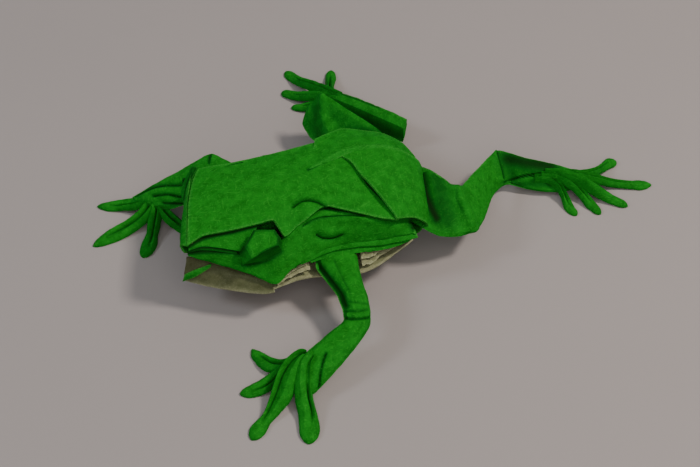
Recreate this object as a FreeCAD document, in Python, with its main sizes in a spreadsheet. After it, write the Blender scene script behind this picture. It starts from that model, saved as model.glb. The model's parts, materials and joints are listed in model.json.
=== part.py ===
import FreeCAD, Part
import math
import os
import re

import Sketcher

# An origami tree frog, folded from one sheet of handmade paper that is green on
# one side and cream on the other.  The sheet is split here at its creases: each
# panel, pleat, limb segment and digit is a closed piece as thick as its folded
# layers, and each crease that flexes is the upright axis of a hinge.
#
# Frame while building: +X runs from the snout to the rump, +Y to the frog's
# right, +Z up, and z = 0 is the surface that the fingers and toes stand on.
# The finished pieces are then moved so that the origin is the middle of the
# base of the whole frog's box.  All sizes are millimetres and degrees.

Vector = FreeCAD.Vector
Rotation = FreeCAD.Rotation
Placement = FreeCAD.Placement

SIZES = {
    # paper
    "ply": 0.8,                     # a folded pair of layers in the torso
    "hem_ply": 1.2,                 # a hem of several layers
    "slack": 0.1,                   # gap between stacked panels of the torso
    "clearance": 0.35,              # gap between pieces that move past each other
    # torso: stations from the snout to the rump
    "front_x": -41.5,
    "brow_x": -24.0,
    "shoulder_x": -9.0,
    "loin_x": 4.0,
    "hip_x": 13.0,
    "rear_x": 20.0,
    "front_skew": -12.5,            # the snout's edge is not square to the back
    # torso: the back's left edge, crown and right edge at each station
    "front_half_width": 13.2,
    "brow_half_width": 12.3,
    "shoulder_left": 9.8,
    "shoulder_right": 13.0,
    "loin_left": 15.3,
    "loin_right": 14.0,
    "hip_left": 16.5,
    "hip_right": 11.5,
    "rear_left": 8.0,
    "rear_right": 5.5,
    "front_edge_height": 21.5,
    "front_crown_height": 22.3,
    "brow_edge_height": 23.4,
    "brow_crown_height": 24.4,
    "shoulder_edge_height": 24.0,
    "shoulder_crown_height": 25.0,
    "loin_edge_height": 23.6,
    "loin_crown_height": 25.2,
    "hip_edge_height": 22.2,
    "hip_crown_height": 24.6,
    "rear_edge_height": 21.2,
    "rear_crown_height": 22.4,
    "rump_lap": 12.0,               # how far the rump panel lies over the back
    # head
    "snout_hem_depth": 5.0,
    "lip_corner_x": -23.5,
    "lip_front_height": 16.5,
    "lip_middle_height": 12.9,
    "lip_corner_height": 12.1,
    "lip_rear_height": 15.3,
    "left_cheek_front_x": -40.6,
    "right_cheek_front_x": -36.8,
    "cheek_middle_x": -32.0,
    "cheek_rear_x": -16.0,
    "left_lip_middle": 16.6,
    "left_lip_corner": 21.5,
    "left_lip_rear": 17.2,
    "right_lip_middle": 14.0,
    "right_lip_corner": 15.3,
    "right_lip_rear": 14.4,
    "eye_front_x": -30.5,
    "eye_length": 9.0,
    "eye_base_height": 17.6,
    "eye_crown_height": 23.2,
    "eye_foot": 2.4,
    "left_eye_reach": 19.0,
    "right_eye_reach": 17.0,
    # flanks
    "hem_height": 16.4,
    "under_hem_height": 14.8,
    "left_hem_reach": 17.4,
    "right_hem_reach": 15.6,
    "left_flank_rear_x": 15.5,
    "right_flank_rear_x": -1.0,
    # belly and lower jaw
    "belly_height": 8.0,
    "belly_ply": 0.8,
    "jaw_hinge_x": -24.0,
    "jaw_tip_x": -46.0,
    "jaw_tip_half_width": 12.4,
    "jaw_rear_half_width": 22.0,
    "jaw_depth": 2.9,
    "belly_waist_half_width": 20.0,
    "belly_loin_half_width": 20.6,
    "belly_rear_half_width": 12.5,
    "belly_waist_x": -11.0,
    "belly_loin_x": 2.5,
    "belly_rear_x": 15.0,
    # the folded layers inside the head and chest
    "core_front_x": -37.5,
    "core_rear_x": -15.0,
    "core_half_width": 8.0,
    "core_base_height": 12.8,
    # arms
    "shoulder_pivot_x": -10.0,
    "shoulder_pivot_y": 14.3,
    "shoulder_height": 12.2,
    "upper_arm_length": 22.0,
    "upper_arm_width": 9.6,
    "elbow_width": 6.4,
    "forearm_length": 21.0,
    "forearm_width": 9.0,
    "wrist_width": 11.6,
    "arm_half_depth": 2.1,
    "palm_half_depth": 1.8,
    "elbow_notch": 0.9,
    "left_arm_heading": -83.0,
    "left_forearm_heading": 208.0,
    "left_elbow_height": 8.4,
    "left_wrist_height": 5.6,
    "left_elbow_mitre": 23.0,
    "right_arm_heading": 161.0,
    "right_forearm_heading": 199.0,
    "right_elbow_height": 11.8,
    "right_wrist_height": 5.6,
    "right_elbow_mitre": 9.0,
    "left_arm_roll": 0.0,
    "right_arm_roll": 0.0,
    # fingers, from the one nearest the head
    "finger_pitch": 3.2,
    "first_finger_setback": 1.7,
    "finger_1_length": 12.0,
    "finger_2_length": 15.5,
    "finger_3_length": 21.5,
    "finger_4_length": 18.0,
    "finger_1_half_width": 1.5,
    "finger_2_half_width": 1.6,
    "finger_3_half_width": 1.9,
    "finger_4_half_width": 1.8,
    "left_finger_1_turn": -72.0,
    "left_finger_2_turn": -14.0,
    "left_finger_3_turn": 17.0,
    "left_finger_4_turn": 49.0,
    "right_finger_1_turn": 122.0,
    "right_finger_2_turn": 52.0,
    "right_finger_3_turn": -1.0,
    "right_finger_4_turn": -48.0,
    # legs
    "thigh_length": 26.0,
    "shank_length": 20.0,
    "tarsus_length": 27.0,
    "leg_half_depth": 2.0,
    "tarsus_half_depth": 1.7,
    "hip_tongue_half_width": 3.6,
    "left_hip_pivot_x": 5.3,
    "left_hip_pivot_y": -1.2,
    "left_hip_height": 15.2,
    "left_thigh_heading": -7.0,
    "left_thigh_roll": 14.0,
    "left_hip_flare": 15.0,
    "left_hip_outer": 10.5,
    "left_hip_inner": 6.0,
    "left_knee_height": 12.8,
    "left_knee_width": 12.0,
    "left_knee_mitre": 19.0,
    "left_shank_heading": 48.0,
    "left_shank_height": 12.2,
    "left_shank_width": 9.6,
    "left_shank_roll": 10.0,
    "left_heel_height": 7.2,
    "left_heel_width": 8.0,
    "left_heel_offset": 5.8,
    "left_heel_mitre": 17.0,
    "left_tarsus_heading": -13.0,
    "left_tarsus_height": 6.4,
    "left_ankle_height": 4.8,
    "left_tarsus_fan": 3.0,
    "left_tarsus_crest": 5.4,
    "right_hip_pivot_x": 11.0,
    "right_hip_pivot_y": 11.4,
    "right_hip_height": 16.4,
    "right_thigh_heading": 104.0,
    "right_thigh_roll": -12.0,
    "right_hip_flare": 9.5,
    "right_hip_outer": 8.5,
    "right_hip_inner": 6.0,
    "right_knee_height": 14.6,
    "right_knee_width": 9.5,
    "right_knee_mitre": 0.0,
    "right_shank_heading": -32.0,
    "right_shank_height": 8.0,
    "right_shank_width": 5.6,
    "right_shank_roll": 0.0,
    "right_heel_height": 7.0,
    "right_heel_width": 5.4,
    "right_heel_offset": 3.4,
    "right_heel_mitre": 0.0,
    "right_tarsus_heading": 119.0,
    "right_tarsus_height": 6.4,
    "right_ankle_height": 4.8,
    "right_tarsus_fan": 1.0,
    "right_tarsus_crest": 5.4,
    "knee_notch": 0.9,
    # toes, from the one nearest the heel
    "toe_1_length": 12.0,
    "toe_2_length": 14.0,
    "toe_3_length": 15.5,
    "toe_4_length": 17.5,
    "toe_5_length": 10.5,
    "toe_half_width": 1.5,
    "left_toe_1_station": 13.5,
    "left_toe_2_station": 17.5,
    "left_toe_3_station": 21.6,
    "right_toe_1_station": 14.0,
    "right_toe_2_station": 18.1,
    "right_toe_3_station": 22.2,
    "last_toe_spacing": 3.0,
    "left_toe_1_turn": -62.0,
    "left_toe_2_turn": -49.0,
    "left_toe_3_turn": -32.0,
    "left_toe_4_turn": -4.0,
    "left_toe_5_turn": 36.0,
    "right_toe_1_turn": 62.0,
    "right_toe_2_turn": 45.0,
    "right_toe_3_turn": 28.0,
    "right_toe_4_turn": 2.0,
    "right_toe_5_turn": -38.0,
    # every digit
    "digit_root_base": 1.0,
    "digit_crown": 2.8,
    "digit_waist_crown": 2.0,
    "pad_length": 4.0,
    "pad_crown": 2.2,
    "pad_spread": 1.1,
}

SIDES = ("left", "right")
MIRROR = {"left": "", "right": "-"}
FINGERS = (1, 2, 3, 4)
TOES = (1, 2, 3, 4, 5)


# --- the document and its spreadsheet ---------------------------------------------

document = FreeCAD.newDocument("origami_frog")
sheet = document.addObject("Spreadsheet::Sheet", "dims")


def fill_sheet():
    """Writes every named size to the sheet, one to a row."""
    for row, (alias, value) in enumerate(SIZES.items(), start=1):
        sheet.set(f"A{row}", alias)
        sheet.set(f"B{row}", str(value))
        sheet.setAlias(f"B{row}", alias)
    document.recompute()


def size(alias):
    """The value that the sheet holds for one name."""
    return float(sheet.get(alias))


def bound(expression):
    """The same expression with each named size read from the sheet."""
    def read(word):
        return f"dims.{word.group()}" if word.group() in SIZES else word.group()
    return re.sub(r"[a-z][a-z_0-9]*", read, str(expression))


# --- lofts and plates -------------------------------------------------------------

def origin_plane(body, role):
    """One of a body's own origin planes."""
    return next(feature for feature in body.Origin.OriginFeatures if feature.Role == role)


def draw_outline(sketch, points):
    """A closed outline through corners whose two distances follow the sheet."""
    count = len(points)
    start = [Vector(math.cos(2 * math.pi * i / count), math.sin(2 * math.pi * i / count), 0)
             for i in range(count)]
    sketch.addGeometry([Part.LineSegment(start[i], start[(i + 1) % count]) for i in range(count)], False)
    for i in range(count):
        sketch.addConstraint(Sketcher.Constraint("Coincident", i, 2, (i + 1) % count, 1))
    for i, (across, up) in enumerate(points):
        for kind, place, guess in (("DistanceX", across, start[i].x), ("DistanceY", up, start[i].y)):
            index = sketch.addConstraint(Sketcher.Constraint(kind, -1, 1, i, 1, guess))
            sketch.setExpression(f"Constraints[{index}]", bound(place))


def loft_piece(label, sections, skew=None):
    """A body lofted straight from section to section along its own X axis.

    Each section is a station and its corners as (y, z); skew turns the first
    section about the upright axis.
    """
    body = document.addObject("PartDesign::Body", label)
    body.Label = label
    sketches = []
    for number, (station, corners) in enumerate(sections):
        sketch = body.newObject("Sketcher::SketchObject", f"{label}_section_{number}")
        sketch.AttachmentSupport = [(origin_plane(body, "YZ_Plane"), "")]
        sketch.MapMode = "FlatFace"
        if skew and number == 0:
            sketch.AttachmentOffset = Placement(Vector(), Rotation(Vector(0, 1, 0), size(skew)))
        sketch.setExpression("AttachmentOffset.Base.z", bound(station))
        draw_outline(sketch, corners)
        sketches.append(sketch)
    loft = body.newObject("PartDesign::AdditiveLoft", f"{label}_loft")
    loft.Profile = sketches[0]
    loft.Sections = sketches[1:]
    loft.Ruled = True
    return body


def plate_piece(label, corners, base, depth):
    """A flat plate, a padded outline in the level plane at its base height."""
    body = document.addObject("PartDesign::Body", label)
    body.Label = label
    sketch = body.newObject("Sketcher::SketchObject", f"{label}_outline")
    sketch.AttachmentSupport = [(origin_plane(body, "XY_Plane"), "")]
    sketch.MapMode = "FlatFace"
    sketch.setExpression("AttachmentOffset.Base.z", bound(base))
    draw_outline(sketch, corners)
    pad = body.newObject("PartDesign::Pad", f"{label}_pad")
    pad.Profile = sketch
    pad.setExpression("Length", bound(depth))
    return body


def ridged(low, high, base, crown, mirror=""):
    """A folded band's section: flat edges left and right, a ridge above and below."""
    middle = f"(({low}) + ({high})) / 2"
    level = f"(({base}) + ({crown})) / 2"
    return [(f"{mirror}({low})", level), (f"{mirror}({middle})", base),
            (f"{mirror}({high})", level), (f"{mirror}({middle})", crown)]


def sheet_section(edge, edge_height, foot, foot_height, thickness, mirror=""):
    """A sloping sheet's section, thickened towards the middle of the torso."""
    return [(f"{mirror}({edge})", edge_height), (f"{mirror}({foot})", foot_height),
            (f"{mirror}({foot} - {thickness})", foot_height),
            (f"{mirror}({edge} - {thickness})", edge_height)]


# --- the torso ----------------------------------------------------------------------

def back_section(name, left, right, lift="0"):
    """The back's roof at one station, a thin sheet bent along the spine."""
    edge = f"{name}_edge_height + {lift}"
    crown = f"{name}_crown_height + {lift}"
    return [(f"-{left}", edge), ("0", crown), (right, edge),
            (right, f"{edge} - ply"), ("0", f"{crown} - ply"), (f"-{left}", f"{edge} - ply")]


def make_back():
    """The back panel, and the rump panel that laps over its rear end."""
    lap = "ply + slack"
    back = [("front_x", back_section("front", "front_half_width", "front_half_width")),
            ("brow_x", back_section("brow", "brow_half_width", "brow_half_width")),
            ("shoulder_x", back_section("shoulder", "shoulder_left", "shoulder_right")),
            ("loin_x", back_section("loin", "loin_left", "loin_right"))]
    loft_piece("back_panel", back, skew="front_skew")
    rump = [("loin_x - rump_lap", back_section("shoulder", "shoulder_left", "shoulder_right", lap)),
            ("loin_x", back_section("loin", "loin_left", "loin_right", lap)),
            ("hip_x", back_section("hip", "hip_left", "hip_right", "slack")),
            ("rear_x", back_section("rear", "rear_left", "rear_right"))]
    loft_piece("rump_panel", rump)


def make_snout_hem():
    """The doubled strip that hangs under the snout's front edge."""
    top = "front_edge_height - ply - slack"
    corners = [("-front_half_width + ply", top), ("front_half_width - ply", top),
               ("front_half_width - 2 * ply", "front_edge_height - snout_hem_depth"),
               ("-front_half_width + 2 * ply", "front_edge_height - snout_hem_depth")]
    body = loft_piece("snout_hem", [("0", corners), ("hem_ply", corners)])
    turn = Rotation(Vector(0, 0, 1), size("front_skew"))
    body.Placement = Placement(Vector(size("front_x"), 0, 0), turn)


def make_cheek(side):
    """The panel from the snout's corner along the mouth to the lip's corner."""
    mirror = "-" if side == "left" else ""
    inset = "ply + slack"
    top = f"brow_half_width - {inset}"
    rise = "brow_edge_height - 2.4 * ply"
    sections = [
        (f"{side}_cheek_front_x", sheet_section(
            f"front_half_width - {inset}", "front_edge_height - 2 * ply",
            f"front_half_width - {inset}", "lip_front_height", "ply", mirror)),
        ("cheek_middle_x", sheet_section(
            top, rise, f"{side}_lip_middle", "lip_middle_height", "ply", mirror)),
        ("lip_corner_x", sheet_section(
            top, rise, f"{side}_lip_corner", "lip_corner_height", "ply", mirror)),
        ("cheek_rear_x", sheet_section(
            f"shoulder_left - {inset}", rise,
            f"{side}_lip_rear", "lip_rear_height", "ply", mirror))]
    loft_piece(f"{side}_cheek_panel", sections)


def make_eye(side):
    """The raised, box-pleated eye fold above the lip's corner."""
    mirror = "-" if side == "left" else ""
    reach = f"{side}_eye_reach"

    def box(outset, sink):
        return [(f"{mirror}({reach} - {outset} - eye_foot)", f"eye_base_height + {sink}"),
                (f"{mirror}({reach} - {outset})", f"eye_base_height + {sink}"),
                (f"{mirror}({reach} - {outset} - ply)", f"eye_crown_height - 1 - {sink}"),
                (f"{mirror}(brow_half_width + slack)", f"eye_crown_height - 0.8 - {sink}")]
    sections = [("eye_front_x", box("2.4", "1.6")),
                ("eye_front_x + eye_length / 3", box("0", "0")),
                ("eye_front_x + eye_length * 0.8", box("0", "0")),
                ("eye_front_x + eye_length", box("1.6", "1"))]
    loft_piece(f"{side}_eye_fold", sections)


def make_flank(side):
    """Two pleats, one over the other, from the back's edge down to the hem."""
    mirror = "-" if side == "left" else ""
    rear = f"{side}_flank_rear_x"
    reach = f"{side}_hem_reach"
    rise = "shoulder_edge_height - 2 * ply"
    rear_edge = "hip_left - 2 * ply" if side == "left" else "shoulder_right - 2 * ply"
    rear_rise = "hip_edge_height - ply - slack" if side == "left" else rise
    upper = [("cheek_rear_x + slack", sheet_section(
                 "shoulder_left - ply", rise, reach, "hem_height", "ply", mirror)),
             ("shoulder_x + 9", sheet_section(
                 "shoulder_right - 2 * ply", rise, reach, "hem_height", "ply", mirror)),
             (rear, sheet_section(rear_edge, rear_rise, f"{reach} - ply / 2", "hem_height", "ply", mirror))]
    under = [("cheek_rear_x + 1", sheet_section(
                 "shoulder_left - 3 * ply", "hem_height + 2", f"{reach} - ply - slack",
                 "under_hem_height", "ply", mirror)),
             (f"{rear} + 0.5", sheet_section(
                 "shoulder_left - 2 * ply", "hem_height + 2", f"{reach} - ply - slack",
                 "under_hem_height", "ply", mirror))]
    loft_piece(f"{side}_flank_upper_pleat", upper[::2] if side == "right" else upper)
    loft_piece(f"{side}_flank_under_pleat", under)


def make_belly():
    """The cream underside, and the folded layers between it and the head."""
    half = [("jaw_hinge_x + clearance", "jaw_rear_half_width"),
            ("belly_waist_x", "belly_waist_half_width"),
            ("belly_loin_x", "belly_loin_half_width"),
            ("belly_rear_x", "belly_rear_half_width")]
    corners = [(x, f"-{y}") for x, y in half] + [(x, y) for x, y in reversed(half)]
    plate_piece("belly_panel", corners, "belly_height", "belly_ply")

    def block(base, top):
        return [("-core_half_width", base), ("core_half_width", base),
                ("core_half_width", top), ("-core_half_width", top)]
    head_top = "brow_edge_height - 2 * ply"
    floor = "belly_height + belly_ply + slack"
    sections = [("core_front_x", block("core_base_height", "front_edge_height - 2 * ply")),
                ("jaw_hinge_x - 0.5", block("core_base_height", head_top)),
                ("jaw_hinge_x + 1.5", block(floor, head_top)),
                ("core_rear_x", block(floor, head_top))]
    loft_piece("inner_layers", sections)


def make_jaw():
    """The lower jaw, a shallow cream tray hinged where the belly begins."""
    def tray(half_width, depth):
        return [(f"-{half_width}", "belly_height"), (half_width, "belly_height"),
                (f"{half_width} * 0.82", f"belly_height + {depth}"),
                (f"-{half_width} * 0.82", f"belly_height + {depth}")]
    sections = [("jaw_tip_x + jaw_tip_half_width * 0.22", tray("jaw_tip_half_width", "jaw_depth")),
                ("cheek_middle_x", tray("(jaw_tip_half_width + jaw_rear_half_width) / 2", "jaw_depth")),
                ("jaw_hinge_x", tray("jaw_rear_half_width", "jaw_depth * 0.75"))]
    loft_piece("lower_jaw", sections, skew="front_skew")


# --- the limbs ----------------------------------------------------------------------

def run_placement(pivot, heading, start_height, end_height, length, roll=0.0):
    """Places a segment on its pivot, sloping from one height to the other."""
    drop = math.degrees(math.asin((start_height - end_height) / length))
    return Placement(Vector(pivot.x, pivot.y, start_height), Rotation(heading, drop, roll))


def level_point(placement, along, across):
    """Where a point of a segment's middle line lies, seen from above."""
    point = placement.multVec(Vector(along, across, 0))
    return Vector(point.x, point.y, 0)


def corner_tip(station, inner, outer, depth, mirror):
    """A thin end section that carries a segment's outer corner past its pivot."""
    return (station, ridged(inner, outer, f"-{depth} * 0.35", f"{depth} * 0.35", mirror))


def make_upper_arm(side):
    """The first fold of the arm, from between the torso's layers to the elbow."""
    mirror = MIRROR[side]
    depth = "arm_half_depth"
    length = "upper_arm_length"
    reach = f"{length} + elbow_width * tan({side}_elbow_mitre)"
    sections = [
        ("-2", ridged("-1.4", "2.6", "-0.8", "0.8", mirror)),
        ("1", ridged("-1.9", "upper_arm_width * 0.5", "-1.6", "1.6", mirror)),
        (f"{length} * 0.28", ridged("-1.2", "upper_arm_width - 1.2", "-1.7", "1.7", mirror)),
        (f"{length} * 0.6", ridged("-0.9", "upper_arm_width - 2.2", f"-{depth}", depth, mirror)),
        (f"{length} - elbow_notch", ridged("-0.2", "elbow_width", f"-{depth}", depth, mirror)),
        corner_tip(reach, "elbow_width - 0.9", "elbow_width - 0.1", depth, mirror)]
    return loft_piece(f"{side}_upper_arm", sections)


def make_forearm(side):
    """The second fold of the arm, widening to the palm that covers the fingers' roots."""
    mirror = MIRROR[side]
    depth = "arm_half_depth"
    palm = "palm_half_depth"
    length = "forearm_length"
    margin = "(wrist_width - forearm_width)"
    sections = [
        corner_tip(f"-elbow_width * tan({side}_elbow_mitre)", "elbow_width - 0.7",
                   "elbow_width + 0.1", depth, mirror),
        ("elbow_notch", ridged("-0.2", "elbow_width + 0.3", f"-{depth}", depth, mirror)),
        (f"{length} * 0.5", ridged("-1.2", "forearm_width - 1.2", f"-{depth}", depth, mirror)),
        (f"{length} * 0.86", ridged(f"-{margin}", "forearm_width", f"-{palm}", palm, mirror)),
        (length, ridged(f"-{margin} * 0.5", "forearm_width * 0.86", "-0.9", "1.1", mirror))]
    return loft_piece(f"{side}_forearm", sections)


def make_thigh(side):
    """The first fold of the leg: a tongue under the rump that flares to the knee."""
    mirror = MIRROR[side]
    depth = "leg_half_depth"
    length = "thigh_length"
    knee = f"{side}_knee_width"
    flare = f"{side}_hip_flare"
    tongue = "hip_tongue_half_width"
    reach = f"{length} + {knee} * tan({side}_knee_mitre)"
    sections = [
        ("-2.4", ridged("-1.5", "1.5", "-0.9", "0.9", mirror)),
        ("1", ridged(f"-{tongue}", tongue, "-1.8", "1.8", mirror)),
        (f"{flare} * 0.6", ridged(f"-{tongue} - 0.5", tongue, f"-{depth}", depth, mirror)),
        (flare, ridged(f"-{side}_hip_outer", f"{side}_hip_inner", f"-{depth}", depth, mirror)),
        (f"{length} - knee_notch", ridged(f"-{knee}", "0.4", f"-{depth}", depth, mirror)),
        corner_tip(reach, f"-{knee} + 0.1", f"-{knee} + 1", depth, mirror)]
    if side == "right":
        sections.pop()
    return loft_piece(f"{side}_thigh", sections)


def make_shank(side):
    """The second fold of the leg, from the knee's inner corner to the heel."""
    mirror = MIRROR[side]
    depth = "leg_half_depth"
    length = "shank_length"
    width = f"{side}_shank_width"
    heel = f"{side}_heel_width"
    offset = f"{side}_heel_offset"
    sections = [
        corner_tip(f"-{width} * tan({side}_knee_mitre)", f"-{width}", f"-{width} + 0.9", depth, mirror),
        ("knee_notch", ridged(f"-{width} - 0.3", "0.3", f"-{depth}", depth, mirror)),
        (f"{length} * 0.5", ridged(f"-({width} + {offset}) / 2", "1.2", f"-{depth}", depth, mirror)),
        (f"{length} - knee_notch", ridged(f"-{offset} - 0.1", f"{heel} - {offset}",
                                          f"-{depth}", depth, mirror)),
        corner_tip(f"{length} + {heel} * tan({side}_heel_mitre)", f"{heel} - {offset} - 1",
                   f"{heel} - {offset} - 0.1", depth, mirror)]
    if side == "right":
        sections = sections[1:-1]
    return loft_piece(f"{side}_shank", sections)


def make_tarsus(side):
    """The third fold of the leg, the long foot whose edge covers the toes' roots."""
    mirror = MIRROR[side]
    depth = "tarsus_half_depth"
    length = "tarsus_length"
    heel = f"{side}_heel_width"
    fan = f"{side}_tarsus_fan"
    crest = f"{side}_tarsus_crest"
    sections = [
        corner_tip(f"-{heel} * tan({side}_heel_mitre)", f"{heel} - 1.6", f"{heel} - 0.8", depth, mirror),
        ("knee_notch", ridged("-0.2", f"{heel} - 0.8", f"-{depth}", depth, mirror)),
        (f"{length} * 0.52", ridged(f"-{fan}", crest, f"-{depth}", depth, mirror)),
        (f"{length} * 0.82", ridged(f"-{fan} * 0.6", f"{crest} - 0.3", f"-{depth} * 0.95", depth, mirror)),
        (length, ridged("0.2", f"{crest} - 0.6", "-0.8", "0.9", mirror))]
    if side == "right":
        sections.pop(0)
    return loft_piece(f"{side}_tarsus", sections)


def make_digit(label, length, half_width):
    """A finger or toe: a low folded ray that ends in a pad flat on the surface."""
    def slice_at(share, base, crown):
        wide = f"{half_width} * {share}"
        return [(f"-{wide}", base), (wide, base),
                (f"{wide} * 0.5", crown), (f"-{wide} * 0.5", crown)]
    pad = "pad_length"
    spread = "pad_spread"
    sections = [
        ("-1", slice_at("0.5", "digit_root_base + 0.5", "digit_crown - 0.5")),
        ("0.8", slice_at("0.8", "digit_root_base", "digit_crown")),
        (f"{length} * 0.35", slice_at("0.95", "digit_root_base * 0.7", "digit_crown")),
        (f"{length} - {pad} * 1.2", slice_at("0.8", "digit_root_base * 0.2", "digit_waist_crown")),
        (f"{length} - {pad} * 0.75", slice_at(spread, "0", "pad_crown")),
        (f"{length} - {pad} * 0.25", slice_at(spread, "0", "pad_crown - 0.3")),
        (length, slice_at("0.45", "0", "1"))]
    return loft_piece(label, sections)


# --- where the limbs go -------------------------------------------------------------

PIVOTS = {}


def hang(label, body, placement):
    """Puts a segment in its place and notes the upright axis that it turns on."""
    body.Placement = placement
    PIVOTS[label] = Vector(placement.Base)
    return placement


def place_digit(label, body, pivot, heading):
    """Stands a digit on the surface under its pivot."""
    hang(label, body, Placement(Vector(pivot.x, pivot.y, 0), Rotation(heading, 0, 0)))


def make_arm(side):
    """One arm from the shoulder to the finger tips."""
    sign = -1 if side == "left" else 1
    shoulder = Vector(size("shoulder_pivot_x"), sign * size("shoulder_pivot_y"), 0)
    length = size("upper_arm_length")
    upper = hang(f"{side}_upper_arm", make_upper_arm(side), run_placement(
        shoulder, size(f"{side}_arm_heading"), size("shoulder_height"),
        size(f"{side}_elbow_height"), length, size(f"{side}_arm_roll")))
    elbow = level_point(upper, length, 0)
    heading = size(f"{side}_forearm_heading")
    length = size("forearm_length")
    lower = hang(f"{side}_forearm", make_forearm(side), run_placement(
        elbow, heading, size(f"{side}_elbow_height"), size(f"{side}_wrist_height"), length))
    middle = (2 * size("forearm_width") - size("wrist_width")) / 2
    for number in FINGERS:
        label = f"{side}_finger_{number}"
        body = make_digit(label, f"finger_{number}_length", f"finger_{number}_half_width")
        across = middle + (number - 2.5) * size("finger_pitch")
        setback = size("finger_pitch") + (size("first_finger_setback") if number == 1 else 0)
        root = level_point(lower, length - setback, -sign * across)
        place_digit(label, body, root, heading + size(f"{label}_turn"))


def make_leg(side):
    """One leg from the hip to the toe tips."""
    sign = -1 if side == "left" else 1
    hip = Vector(size(f"{side}_hip_pivot_x"), size(f"{side}_hip_pivot_y"), 0)
    length = size("thigh_length")
    thigh = hang(f"{side}_thigh", make_thigh(side), run_placement(
        hip, size(f"{side}_thigh_heading"), size(f"{side}_hip_height"),
        size(f"{side}_knee_height"), length, size(f"{side}_thigh_roll")))
    knee = level_point(thigh, length, 0)
    length = size("shank_length")
    shank = hang(f"{side}_shank", make_shank(side), run_placement(
        knee, size(f"{side}_shank_heading"), size(f"{side}_shank_height"),
        size(f"{side}_heel_height"), length, size(f"{side}_shank_roll")))
    heel = level_point(shank, length, sign * size(f"{side}_heel_offset"))
    heading = size(f"{side}_tarsus_heading")
    length = size("tarsus_length")
    tarsus = hang(f"{side}_tarsus", make_tarsus(side), run_placement(
        heel, heading, size(f"{side}_tarsus_height"), size(f"{side}_ankle_height"), length))
    spacing = size("last_toe_spacing")
    middle = size(f"{side}_tarsus_crest") / 2 - 0.2
    roots = {1: (size(f"{side}_toe_1_station"), 0.0), 2: (size(f"{side}_toe_2_station"), 0.0),
             3: (size(f"{side}_toe_3_station"), 0.0), 4: (length - 1.5, middle - spacing / 2),
             5: (length - 1.5, middle + spacing / 2)}
    for number in TOES:
        label = f"{side}_toe_{number}"
        body = make_digit(label, f"toe_{number}_length", "toe_half_width")
        along, across = roots[number]
        place_digit(label, body, level_point(tarsus, along, -sign * across),
                    heading + size(f"{label}_turn"))


# --- building, moving to the final frame, checking and writing ----------------------

def pieces():
    """Every sub-part of the document."""
    return [item for item in document.Objects if item.TypeId == "PartDesign::Body"]


def centre_base():
    """Moves every piece so that the origin is the middle of the frog's base."""
    box = FreeCAD.BoundBox()
    for piece in pieces():
        box.add(piece.Shape.BoundBox)
    shift = Vector(-(box.XMin + box.XMax) / 2, -(box.YMin + box.YMax) / 2, -box.ZMin)
    for piece in pieces():
        piece.Placement = Placement(shift, Rotation()).multiply(piece.Placement)
    for label in PIVOTS:
        PIVOTS[label] += shift
    document.recompute()
    return shift


def check_document():
    """Stops if any feature failed or any piece is not one valid solid."""
    for item in document.Objects:
        if "Invalid" in item.State or "Error" in item.State:
            raise RuntimeError(f"{item.Label}: {item.State}")
    for piece in pieces():
        shape = piece.Shape
        if shape.isNull() or not shape.isValid() or len(shape.Solids) != 1 or shape.Volume <= 0:
            raise RuntimeError(f"{piece.Label} is not one valid solid")


def write_parts():
    """Writes each piece to its own STEP file."""
    os.makedirs("parts", exist_ok=True)
    for piece in pieces():
        piece.Shape.exportStep(f"parts/{piece.Label}.step")


fill_sheet()
make_back()
make_snout_hem()
make_belly()
make_jaw()
for flank in SIDES:
    make_cheek(flank)
    make_eye(flank)
    make_flank(flank)
    make_arm(flank)
    make_leg(flank)
document.recompute()
SHIFT = centre_base()
check_document()
write_parts()
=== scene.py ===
import json
import logging
import math
from dataclasses import dataclass
from enum import Enum

import bmesh
import bpy
import numpy as np
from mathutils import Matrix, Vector


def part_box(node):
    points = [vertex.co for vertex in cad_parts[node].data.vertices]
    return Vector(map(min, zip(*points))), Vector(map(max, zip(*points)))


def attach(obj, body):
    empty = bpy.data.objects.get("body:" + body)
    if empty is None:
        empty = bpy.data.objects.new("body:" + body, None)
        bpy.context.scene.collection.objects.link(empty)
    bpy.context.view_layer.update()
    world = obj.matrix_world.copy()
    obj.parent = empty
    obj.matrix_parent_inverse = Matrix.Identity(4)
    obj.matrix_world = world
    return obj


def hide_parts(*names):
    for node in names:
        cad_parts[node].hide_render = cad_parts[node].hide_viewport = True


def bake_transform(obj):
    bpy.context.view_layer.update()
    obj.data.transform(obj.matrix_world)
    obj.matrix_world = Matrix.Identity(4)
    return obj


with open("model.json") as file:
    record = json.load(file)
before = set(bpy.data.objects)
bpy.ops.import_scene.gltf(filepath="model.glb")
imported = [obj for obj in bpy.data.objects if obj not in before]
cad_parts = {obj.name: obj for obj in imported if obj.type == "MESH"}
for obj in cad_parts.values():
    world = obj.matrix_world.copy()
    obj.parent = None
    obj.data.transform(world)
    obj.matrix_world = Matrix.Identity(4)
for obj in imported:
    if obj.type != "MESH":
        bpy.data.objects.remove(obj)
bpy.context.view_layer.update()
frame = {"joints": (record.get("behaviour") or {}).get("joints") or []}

LOG = logging.getLogger("paper_frog")

MM = 0.001
JAW_HINGE_MM = (-24.0, 0.0)     # where the jaw's crease crosses the spine, in the maker's own layout
UP = np.array([0.0, 0.0, 1.0])
TOWARDS_CAMERA = np.array([-0.162, -0.649, 0.743])    # the way towards the camera: creases are pressed along it, and their painted shade lies on the side that faces the camera
JOINTS = {joint["name"]: joint for joint in frame["joints"]}
Points = list[tuple[float, float, float]]
Colour = tuple[float, float, float]
Tree = bpy.types.NodeTree
Socket = bpy.types.NodeSocket

SHEET_CRUMPLES = ((7.0, 1.0), (2.2, 0.35))    # pitch in millimetres and share of each size of crumpling
BAND_CRUMPLES = ((4.5, 1.0), (1.6, 0.5))

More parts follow.
